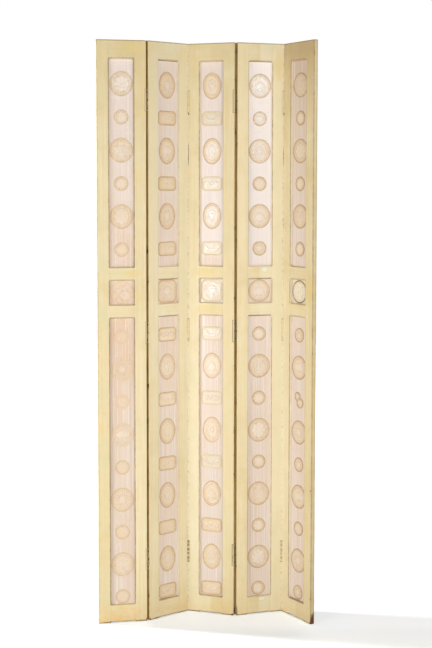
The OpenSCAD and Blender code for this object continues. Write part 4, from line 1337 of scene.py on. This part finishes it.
def palmette(x, y):
    """A fan of seven leaves rising from a band."""
    field = most(blob(x, y, 0, -0.5, 0.30, 0.08), blob(x, y, 0, -0.36, 0.10, 0.08))
    for i in range(-3, 4):
        a = math.pi / 2 - i * 0.42
        size = 0.44 - 0.035 * abs(i)
        field = most(field, leaf_blade(x, y, size * math.cos(a), -0.36 + size * math.sin(a), size, a))
    scrolls = most(*[hump(np.hypot(x - side * 0.5, y + 0.45) - 0.13, 0.05) for side in (-1, 1)])
    return most(field, scrolls)


def lyre(x, y):
    """A lyre with five strings between two laurel twigs."""
    arms = most(*[hump(np.hypot((x - side * 0.16) / 0.62, (y - 0.05)) - 0.42, 0.09)
                  * (np.sign(side) * x > 0.05) * (y < 0.42) for side in (-1, 1)])
    base = blob(x, y, 0, -0.42, 0.2, 0.14)
    bar = np.where(np.abs(x) < 0.34, hump(y - 0.40, 0.05), 0)
    strings = most(*[hump(x - 0.055 * k, 0.016) for k in (-2, -1, 0, 1, 2)])
    strings = np.where((y > -0.34) & (y < 0.40), strings, 0)
    twigs = np.zeros_like(x)
    for side in (-1, 1):
        for i in range(7):
            a = math.radians(-60 + 20 * i)
            px, py = side * 0.74 * math.cos(a), 0.74 * math.sin(a)
            lean = a + (math.pi / 2 + 0.35)
            twigs = most(twigs, leaf_blade(x, y, px, py, 0.13, lean if side > 0 else math.pi - lean))
    return most(arms, base, bar, strings * 0.7, twigs * 0.9)


def sunburst(x, y):
    """A disc with sixteen rays."""
    r, a = np.hypot(x, y), np.arctan2(y, x)
    rays = hump(np.abs(np.sin(8 * a)) * r, 0.16) * np.clip((0.86 - r) / 0.3, 0, 1) * (r > 0.3)
    return most(rays * 0.8, blob(x, y, 0, 0, 0.27, 0.27), hump(r - 0.33, 0.035))


def spiral(x, y):
    """A coiled line, raised like a rope."""
    r, a = np.hypot(x, y), np.arctan2(y, x)
    pitch = 0.19
    phase = (r / pitch - a / (2 * math.pi)) % 1
    return hump((phase - 0.5) * pitch, 0.075) * (r < 0.86) * (0.8 + 0.2 * np.sin(14 * a))


def basket(x, y):
    """A woven basket of round fruit."""
    woven = 0.6 + 0.4 * np.sign(np.sin(x * 26) * np.sin(y * 26))
    width = 0.36 + 0.12 * (y + 0.5) / 0.45
    body = np.where((y > -0.5) & (y < -0.05) & (np.abs(x) < width), woven, 0)
    fruit = [blob(x, y, cx, cy, 0.17, 0.16) for cx, cy in
             ((-0.34, 0.08), (0, 0.1), (0.34, 0.08), (-0.18, 0.3), (0.18, 0.3), (0, 0.48))]
    return most(body * 0.8, *fruit, blob(x, y, 0, -0.04, 0.52, 0.05))


def scrolls(x, y):
    """Two volutes that meet under a shell, for a wide field."""
    field = blob(x, y, 0, 0.18, 0.16, 0.3)
    for side in (-1, 1):
        cx = side * 0.62
        r, a = np.hypot(x - cx, y * 0.8), np.arctan2(y * side, (x - cx) * side)
        phase = (r / 0.17 + a / (2 * math.pi)) % 1
        field = most(field, hump((phase - 0.5) * 0.17, 0.06) * (r < 0.34))
        field = most(field, leaf_blade(x, y, side * 0.25, -0.28, 0.26, math.pi / 2 + side * 1.1))
        field = most(field, leaf_blade(x, y, side * 1.04, 0.1, 0.22, math.pi / 2 - side * 0.4))
    return field


def garland(x, y):
    """A swag of leaves hung from two bows, for a wide field."""
    field = np.zeros_like(x)
    for i in range(-6, 7):
        cx = 0.15 * i
        cy = -0.30 + 0.45 * (i / 6) ** 2
        lean = 0.9 * i / 6
        field = most(field, *[leaf_blade(x, y, cx, cy, 0.20, lean + open_by) for open_by in (0.7, -0.7)])
    for side in (-1, 1):
        field = most(field, blob(x, y, side * 0.95, 0.3, 0.13, 0.13))
        bows = [hump(np.hypot(x - side * 0.95 - dx, y - 0.42) - 0.10, 0.04) for dx in (-0.11, 0.11)]
        field = most(field, *bows)
    return most(field, blob(x, y, 0, -0.05, 0.11, 0.11))


ROUND_DESIGNS = (wreath, urn, shell, rosette, palmette, basket, sunburst, lyre)
WIDE_DESIGNS = (scrolls, garland)
# The leaf, inset and number of the round that has slipped into a figure of eight
TWISTED = (5, "lower", 2)
# Its two loops: their share of the round's size, their shift to the right and up, and their lift
TWISTED_LOOPS = ((0.66, (-0.0085, 0.0135), 0.0), (0.74, (0.0075, -0.0115), 0.0004))
# Rise of a picture's rim: how far in from the outline each step lies, and how much of the rim's height it has
RIM_STEPS = (0.0, 0.0002, 0.0010, 0.0020, 0.0031, 0.0037, 0.0041, 0.0054)
RIM_RISE = (0.35, 0.80, 0.98, 1.0, 0.95, 0.70, 0.60, 0.55)
# How thick a picture is inside its rim, as a share of its paper
BED = 0.92
# How far pasted pieces reach into the board
BURIED = 0.0006
# How far a picture may be pasted off the middle, in metres, and askew, in radians
OFF_CENTRE, ASKEW = 0.0012, 0.05
# How far a small inset's corner pieces stay from its frame, and from its round or square picture
SPANDREL_IN = 0.0022
SPANDREL_GAPS = {"middle": 0.0035, "cushion": 0.0105}


def picture_row(leaf):
    """The pictures of a leaf from the top down: kind, height of the middle, inset and number."""
    m, h = pictures(), heights()["insets"]
    big, little = ("oval", "oblong") if leaf in (2, 3) else ("large", "small")
    rows = []
    for name, kinds, first, pitch in (("upper", (big, little), m.upper_first, m.upper_pitch),
                                      ("lower", (little, big), m.lower_first, m.lower_pitch)):
        low, high = h[name]
        for n in range(int((high - low) / pitch) + 1):
            kind = kinds[n % 2]
            if first + n * pitch + outline_of(kind)[1] + m.margin <= high - low:
                rows.append((kind, high - first - n * pitch, name, n))
    low, high = h["square"]
    rows.append(("cushion" if leaf in (2, 3) else "middle", (low + high) / 2, "square", 0))
    return rows


# Half size and cells of the square on which a design is drawn before it is blurred, and those that are ready
FIELD, CELLS = 1.4, 224
SOFTENED = {}


def softened(design, framed):
    """A design, in a wreath of small leaves if framed, blurred so that the mesh follows its edges."""
    key = (design.__name__, framed)
    if key not in SOFTENED:
        side = np.linspace(-FIELD, FIELD, CELLS + 1)
        x, y = np.meshgrid(side, side)
        field = design(x * 1.22, y * 1.22) if framed else design(x, y)
        if framed:
            for i in range(24):
                a = math.radians(15 * i + 7.5)
                blade = leaf_blade(x, y, 0.83 * math.cos(a), 0.83 * math.sin(a), 0.14, a + 1.9)
                field = most(field, 0.75 * blade)
        taps = np.exp(-0.5 * (np.arange(-6, 7) / 1.5) ** 2)
        for axis in (0, 1):
            field = np.apply_along_axis(np.convolve, axis, field, taps / taps.sum(), "same")
        SOFTENED[key] = field / field.max()
    field = SOFTENED[key]

    def sample(x, y):
        across, up = (np.clip((v + FIELD) / (2 * FIELD) * CELLS, 0, CELLS - 0.001) for v in (x, y))
        i, j = across.astype(int), up.astype(int)
        fx, fy = across - i, up - j
        return ((field[j, i] * (1 - fx) + field[j, i + 1] * fx) * (1 - fy)
                + (field[j + 1, i] * (1 - fx) + field[j + 1, i + 1] * fx) * fy)
    return sample


def lone_coil(x, y):
    """A small coil in the lower right and a twig in the upper left."""
    field = spiral((x - 0.28) / 0.55, (y + 0.25) / 0.55)
    for i in range(5):
        blade = leaf_blade(x, y, -0.75 + 0.22 * i, 0.15 + 0.12 * i, 0.2, 0.3 + 0.9 * (i % 2))
        field = most(field, 0.7 * blade)
    return field


def design_for(leaf, kind, name, n):
    """The ornament of one picture. Leaf 1's lower small rounds are coiled lines."""
    if leaf == 1 and name == "square":
        return lone_coil
    if kind == "oblong":
        return WIDE_DESIGNS[(leaf + n // 2) % 2]
    if kind == "small" and leaf == 1 and name == "lower":
        return spiral
    if kind == "small":
        return (rosette, sunburst, rosette, spiral)[(leaf + n) % 4]
    return ROUND_DESIGNS[(leaf * 3 + n * 2 + (name == "lower")) % len(ROUND_DESIGNS)]


def emboss(shape, leaf, kind, z, name, n, share, shift, lift):
    """Adds one picture: a paper disc with a raised rim and an ornament in low relief."""
    s, m = sizes(), pictures()
    half_w, half_h, corner = outline_of(kind)
    half_w, half_h = half_w * share, half_h * share
    broad = kind in ("large", "oval", "middle", "cushion")
    count, inner_count = (128, 32) if broad else (96, 20)
    design = design_for(leaf, kind, name, n)
    design = softened(design, broad and design not in (wreath, spiral, lone_coil))
    middle_u = s.leaf_w / 2 + shift[0] + OFF_CENTRE * noise.noise(Vector((leaf * 9.3, z * 31, 1.1)))
    tilt = ASKEW * noise.noise(Vector((leaf * 4.7, z * 23, 5.5)))
    rim = RIM_STEPS[-1]
    size = min(half_w, half_h) - rim
    across, tall = (size * 1.2, size) if kind == "oblong" else (half_w - rim, half_h - rim)
    bed = m.paper * BED
    loops = []
    for inset, up in zip(RIM_STEPS, RIM_RISE):
        ring = outline_points(half_w, half_h, corner, inset, count)
        loops.append((ring, np.full(count, m.rim * up), np.full(count, inset), np.zeros(count)))
    last = loops[-1][0]
    for i in range(1, inner_count):
        part = 1 - i / inner_count
        ring = last * part
        raised = design(ring[:, 0] / across, ring[:, 1] / tall)
        loops.append((ring, bed + raised * s.relief, np.full(count, rim + (1 - part) * size), raised))
    peak = design(np.zeros(1), np.zeros(1))[0]
    loops.append((np.zeros((1, 2)), [bed + peak * s.relief], [rim + size], [peak]))
    loops.append((loops[0][0], np.full(count, -BURIED - lift), np.zeros(count), np.zeros(count)))
    co, si = math.cos(tilt), math.sin(tilt)
    points, notes = [], []
    for ring, ups, insets, raised in loops:
        for (x, y), up, inset, high in zip(ring, ups, insets, raised):
            points.append((middle_u + x * co - y * si, s.recess - up - lift, z + shift[1] + x * si + y * co))
            notes.append((inset, high, 0))
    rings = len(loops) - 3
    after = [(i + 1) % count for i in range(count)]
    faces = [(r * count + i, r * count + after[i], (r + 1) * count + after[i], (r + 1) * count + i)
             for r in range(rings) for i in range(count)]
    inner, top = rings * count, (rings + 1) * count
    faces += [(inner + i, inner + after[i], top) for i in range(count)]
    faces += [(top + 1 + i, top + 1 + after[i], after[i], i) for i in range(count)]
    faces.append(tuple(top + 1 + i for i in range(count)))
    shape.add(points, notes, faces, [0] * len(faces))


def spandrels(shape, kind, z):
    """Adds the four raised corner pieces round the picture of a small inset."""
    s, m = sizes(), pictures()
    half = s.square_inset / 2 - SPANDREL_IN
    radius = outline_of(kind)[0] + SPANDREL_GAPS[kind]
    reach = math.sqrt(radius ** 2 - half ** 2)
    start = math.degrees(math.atan2(reach, half))
    bow = arc(0, 0, radius, start, 90 - start, 9)
    outline = [(half, reach), (half, half), (reach, half)] + list(reversed(bow))[1:-1]
    inner = [(x + (0.78 * half - x) * 0.18, y + (0.78 * half - y) * 0.18) for x, y in outline]
    levels = ((outline, -BURIED, 0.1), (outline, m.paper * 0.6, 0.1), (inner, m.paper + 0.0005, 0.9))
    count = len(outline)
    after = [(i + 1) % count for i in range(count)]
    faces = [(low + i, low + after[i], low + count + after[i], low + count + i)
             for low in (0, count) for i in range(count)]
    faces += [tuple(range(count)), tuple(range(2 * count, 3 * count))]
    for side_x in (-1, 1):
        for side_z in (-1, 1):
            points, notes = [], []
            for level, up, raised in levels:
                points += [(s.leaf_w / 2 + side_x * x, s.recess - up, z + side_z * y) for x, y in level]
                notes += [(0.012, raised, 0)] * count
            shape.add(points, notes, faces, [0] * len(faces))


def look_of(leaf, kind, z, name):
    """The look of a picture, which is also the start of its group's name."""
    if leaf == 1 and name != "upper" and z > 0.75:
        return "embossed"
    if leaf == 5 and name == "square":
        return "olive"
    if leaf == 3 and kind in ("oblong", "cushion") and z > 0.5:
        return "scrolled"
    return "picture"


# Geometry Nodes for what repeats

def string_tree():
    """A tree that sets a copy of a piece at even steps along curves and gives it a material."""
    tree = bpy.data.node_groups.new("bead string", "GeometryNodeTree")
    tree.interface.new_socket("Geometry", in_out="OUTPUT", socket_type="NodeSocketGeometry")
    for name, kind in (("Geometry", "NodeSocketGeometry"), ("Copy", "NodeSocketObject"),
                       ("Finish", "NodeSocketMaterial"), ("Spacing", "NodeSocketFloat")):
        tree.interface.new_socket(name, in_out="INPUT", socket_type=kind)
    new, link = tree.nodes.new, tree.links.new
    given, result = new("NodeGroupInput"), new("NodeGroupOutput")
    copy, place = new("GeometryNodeObjectInfo"), new("GeometryNodeInstanceOnPoints")
    real, finish = new("GeometryNodeRealizeInstances"), new("GeometryNodeSetMaterial")
    spread = new("GeometryNodeCurveToPoints")
    spread.mode = "LENGTH"
    link(given.outputs["Geometry"], spread.inputs["Curve"])
    link(given.outputs["Spacing"], spread.inputs["Length"])
    link(given.outputs["Copy"], copy.inputs["Object"])
    link(spread.outputs["Points"], place.inputs["Points"])
    link(copy.outputs["Geometry"], place.inputs["Instance"])
    link(place.outputs["Instances"], real.inputs["Geometry"])
    link(real.outputs["Geometry"], finish.inputs["Geometry"])
    link(given.outputs["Finish"], finish.inputs["Material"])
    link(finish.outputs["Geometry"], result.inputs["Geometry"])
    return tree


def run_tree(holder, tree, inputs, name):
    """Runs a tree on an object and returns its result as a plain mesh object; the holder is removed."""
    bpy.context.scene.collection.objects.link(holder)
    modifier = holder.modifiers.new("repeat", "NODES")
    modifier.node_group = tree
    for item in tree.interface.items_tree:
        if item.in_out == "INPUT" and item.name in inputs:
            modifier[item.identifier] = inputs[item.name]
    evaluated = holder.evaluated_get(bpy.context.evaluated_depsgraph_get())
    mesh = bpy.data.meshes.new_from_object(evaluated)
    mesh.name = name
    piece = bpy.data.objects.new(name, mesh)
    holder.modifiers.clear()
    bpy.data.objects.remove(holder)
    bpy.context.scene.collection.objects.link(piece)
    return piece


def lines_holder(lines):
    """Closed poly lines as one curve object."""
    data = bpy.data.curves.new("lines", "CURVE")
    data.dimensions = "3D"
    for line in lines:
        spline = data.splines.new("POLY")
        spline.points.add(len(line) - 1)
        places = np.column_stack((line, np.ones(len(line))))
        spline.points.foreach_set("co", places.astype(np.float32).ravel())
        spline.use_cyclic_u = True
    return bpy.data.objects.new("lines", data)


def bead_mesh(radius):
    """A small ball with few faces; the paper hides its back half."""
    mesh = bpy.data.meshes.new("bead")
    work = bmesh.new()
    bmesh.ops.create_icosphere(work, subdivisions=1, radius=radius)
    for face in work.faces:
        face.smooth = True
    work.to_mesh(mesh)
    work.free()
    return mesh


# Stage

# Where the front lights look, and their colours
MIDDLE = (0.05, 0, 1.25)
WHITE, WARM = (1, 1, 1), (1.0, 0.97, 0.905)
# Lights: name, place, the point it looks at, width and height, the setting of its power, and colour
LIGHTS = (
    ("key_light", (2.07, -3.19, 3.0), MIDDLE, (1.8, 1.8), "key", WARM),
    ("soft_box", (-2.28, -2.92, 1.64), MIDDLE, (1.0, 0.9), "soft_box", WHITE),
    ("low_left_light", (-2.84, -2.22, 0.5), MIDDLE, (1.6, 0.7), "low_left", WHITE),
    ("low_right_light", (1.55, -3.47, 0.5), MIDDLE, (0.6, 0.7), "low_right", WHITE),
    ("side_light", (3.42, -1.67, 0.5), MIDDLE, (0.9, 0.7), "side", WHITE),
    ("rear_light", (-4.43, 0.91, 2.0), (0.6, 0, 0), (0.35, 0.35), "rear", WHITE),
)


def make_floor():
    """A pale floor, large enough for every view."""
    mesh = bpy.data.meshes.new("studio_floor")
    half = 9.0
    corners = [(-half, -half, 0), (half, -half, 0), (half, half, 0), (-half, half, 0)]
    mesh.from_pydata(corners, [], [(0, 1, 2, 3)])
    mesh.materials.append(floor_paint())
    floor = bpy.data.objects.new("studio_floor", mesh)
    bpy.context.scene.collection.objects.link(floor)


def area_light(name, place, target, size, strength, tint):
    """A soft rectangular light that looks at a point."""
    data = bpy.data.lights.new(name, "AREA")
    data.shape, data.size, data.size_y, data.energy = "RECTANGLE", size[0], size[1], strength
    data.color = tint
    lamp = bpy.data.objects.new(name, data)
    lamp.location = place
    lamp.rotation_euler = (Vector(target) - Vector(place)).to_track_quat("-Z", "Y").to_euler()
    bpy.context.scene.collection.objects.link(lamp)


def set_world(ambient):
    """Soft light from all round; the camera and mirrors see plain white."""
    world = bpy.data.worlds.new("studio")
    bpy.context.scene.world = world
    world.use_nodes = True
    nodes, links = world.node_tree.nodes, world.node_tree.links
    nodes.clear()
    path = nodes.new("ShaderNodeLightPath")
    seen = path.outputs["Is Camera Ray"]
    for kind in ("Is Glossy Ray", "Is Transmission Ray"):
        either = nodes.new("ShaderNodeMath")
        either.operation = "MAXIMUM"
        links.new(seen, either.inputs[0])
        links.new(path.outputs[kind], either.inputs[1])
        seen = either.outputs[0]
    strength = nodes.new("ShaderNodeMapRange")
    strength.inputs["To Min"].default_value = ambient
    strength.inputs["To Max"].default_value = 1.0
    links.new(seen, strength.inputs["Value"])
    sky = nodes.new("ShaderNodeBackground")
    sky.inputs["Color"].default_value = (1, 1, 1, 1)
    links.new(strength.outputs[0], sky.inputs["Strength"])
    out = nodes.new("ShaderNodeOutputWorld")
    links.new(sky.outputs[0], out.inputs[0])


def set_camera(studio):
    """The camera at the photograph's angle."""
    data = bpy.data.cameras.new("camera")
    data.sensor_fit, data.sensor_width = "AUTO", 36.0
    data.lens, data.shift_y = studio.lens, studio.shift
    data.dof.use_dof = False
    data.clip_end = 100
    camera = bpy.data.objects.new("camera", data)
    ahead, aside, down = math.cos(studio.yaw), math.sin(studio.yaw), math.sin(studio.pitch)
    reach = math.cos(studio.pitch)
    forward, level = Vector((aside * reach, ahead * reach, -down)), Vector((ahead, -aside, 0))
    up = level.cross(forward)
    right = math.cos(studio.roll) * level + math.sin(studio.roll) * up
    up = right.cross(forward)
    camera.matrix_world = Matrix.Translation(studio.place) @ Matrix(
        (right, up, -forward)).transposed().to_4x4()
    bpy.context.scene.collection.objects.link(camera)
    bpy.context.scene.camera = camera


# Operators

def finish_of(make, leaf):
    """The material of a leaf, made at its first use."""
    return bpy.data.materials.get(f"{make.__name__}_{leaf}") or make(leaf)


class ScreenOperator:
    """What the operators of this file share."""
    bl_options = {"REGISTER", "UNDO"}


class BuildStiles(ScreenOperator, bpy.types.Operator):
    """Make the ten painted stiles with their grooves and hinge housings"""
    bl_idname = "screen.build_stiles"
    bl_label = "Stiles"

    def execute(self, context):
        for leaf in stand_leaves():
            materials = (finish_of(cream_paint, leaf.number), finish_of(edge_paint, leaf.number))
            for side in ("left", "right"):
                stile_shape(leaf.number, side == "right").make(
                    f"painted_{side}_stile_{leaf.number}", leaf, materials, "frame_paint",
                    [f"leaf_{leaf.number}_{side}_stile"])
        return {"FINISHED"}


class BuildRails(ScreenOperator, bpy.types.Operator):
    """Make the painted rails between the stiles"""
    bl_idname = "screen.build_rails"
    bl_label = "Rails"

    def execute(self, context):
        groups = {"top_rail": ("top",), "mid_rails": ("low_middle", "high_middle"),
                  "bottom_rail": ("bottom",)}
        for leaf in stand_leaves():
            cream = finish_of(cream_paint, leaf.number)
            for node, names in groups.items():
                rail_shape(leaf.number, names).make(
                    f"painted_{node}_{leaf.number}", leaf, (cream,), "frame_paint",
                    [f"leaf_{leaf.number}_{node}"])
        return {"FINISHED"}


class BuildBoards(ScreenOperator, bpy.types.Operator):
    """Make the inset boards with their ground paper"""
    bl_idname = "screen.build_boards"
    bl_label = "Boards"

    def execute(self, context):
        for leaf in stand_leaves():
            paper, back = ground_paper(leaf.number), back_paint(leaf.number)
            cream = ground_paper(leaf.number, True) if leaf.number == 5 else paper
            for inset in ("upper", "square", "lower"):
                front = cream if inset == "square" else paper
                board_shape(leaf.number, inset).make(
                    f"papered_{inset}_board_{leaf.number}", leaf, (front, back), "lacquered_ground",
                    [f"leaf_{leaf.number}_{inset}_board"], 40)
        return {"FINISHED"}


class BuildPictures(ScreenOperator, bpy.types.Operator):
    """Make the pasted and embossed pictures"""
    bl_idname = "screen.build_pictures"
    bl_label = "Pictures"

    def execute(self, context):
        for leaf in stand_leaves():
            number = leaf.number
            groups = {}
            for kind, z, name, n in picture_row(number):
                shape = groups.setdefault(look_of(number, kind, z, name), Shape("z"))
                loops = TWISTED_LOOPS if (number, name, n) == TWISTED else ((1.0, (0.0, 0.0), 0.0),)
                for share, shift, lift in loops:
                    emboss(shape, number, kind, z, name, n, share, shift, lift)
                if name == "square" and number >= 3:
                    spandrels(shape, kind, z)
            for look, shape in groups.items():
                shape.make(f"{look}_papers_{number}", leaf, (picture_paper(number, look),),
                           "pasted_paper", [f"leaf_{number}_medallions"], 50)
        return {"FINISHED"}


class BuildBeads(ScreenOperator, bpy.types.Operator):
    """Set a string of small beads round each outlined picture"""
    bl_idname = "screen.build_beads"
    bl_label = "Beads"

    def execute(self, context):
        s, m = sizes(), pictures()
        tree = string_tree()
        bead = bpy.data.objects.new("bead", bead_mesh(s.bead / 2))
        inset = m.rim_w + s.bead * 0.75
        for leaf in stand_leaves():
            number = leaf.number
            lines = []
            for kind, z, name, n in picture_row(number):
                if (number == 1 and name != "upper") or (number, name, n) == TWISTED:
                    continue
                half_w, half_h, corner = outline_of(kind)
                ring = outline_points(half_w, half_h, corner, inset, 96)
                depth = np.full(len(ring), s.recess - m.paper)
                lines.append(leaf.world(np.column_stack((s.leaf_w / 2 + ring[:, 0], depth, z + ring[:, 1]))))
            piece = run_tree(lines_holder(lines), tree,
                             {"Copy": bead, "Finish": finish_of(bead_paper, number), "Spacing": s.bead_pitch},
                             f"bead_strings_{number}")
            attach(piece, f"leaf_{number}")
        return {"FINISHED"}


class FinishHinges(ScreenOperator, bpy.types.Operator):
    """Paint the hinge plates and dull the screws and pins"""
    bl_idname = "screen.finish_hinges"
    bl_label = "Hinges"

    def execute(self, context):
        finishes = {"hinge_plates": painted_iron(), "hinge_screws": dull_steel("dull_screws", 1.0),
                    "hinge_pins": dull_steel("dull_pins", 4.0)}
        for name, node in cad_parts.items():
            for ending, material in finishes.items():
                if name.endswith(ending):
                    node.data.materials.clear()
                    node.data.materials.append(material)
        return {"FINISHED"}


class SetStage(ScreenOperator, bpy.types.Operator):
    """Set the floor, the lights and the camera"""
    bl_idname = "screen.set_stage"
    bl_label = "Stage"

    def execute(self, context):
        studio = context.scene.screen_studio
        make_floor()
        for name, place, target, size, setting, tint in LIGHTS:
            area_light(name, place, target, size, getattr(studio, setting), tint)
        set_world(studio.ambient)
        set_camera(studio)
        context.scene.view_settings.view_transform = "Standard"
        return {"FINISHED"}


class SCREEN_PT_sidebar(bpy.types.Panel):
    """Lists the steps that build and furnish the screen"""
    bl_label = "Folding Screen"
    bl_space_type = "VIEW_3D"
    bl_region_type = "UI"
    bl_category = "Screen"

    def draw(self, context):
        for operator in OPERATORS:
            self.layout.operator(operator.bl_idname, text=operator.bl_label)
        for name, group in SETTINGS.items():
            box = self.layout.box()
            for key in group.__annotations__:
                box.prop(getattr(context.scene, name), key)


OPERATORS = (SetStage, BuildStiles, BuildRails, BuildBoards, BuildPictures, BuildBeads, FinishHinges)
CLASSES = (*SETTINGS.values(), *OPERATORS, SCREEN_PT_sidebar)


def register():
    for cls in CLASSES:
        bpy.utils.register_class(cls)
    for name, group in SETTINGS.items():
        setattr(bpy.types.Scene, name, PointerProperty(type=group))


def unregister():
    for name in SETTINGS:
        delattr(bpy.types.Scene, name)
    for cls in reversed(CLASSES):
        bpy.utils.unregister_class(cls)


def main():
    register()
    bpy.ops.screen.set_stage()
    bpy.ops.screen.build_stiles()
    bpy.ops.screen.build_rails()
    bpy.ops.screen.build_boards()
    bpy.ops.screen.build_pictures()
    bpy.ops.screen.build_beads()
    bpy.ops.screen.finish_hinges()


if __name__ == "__main__":
    main()
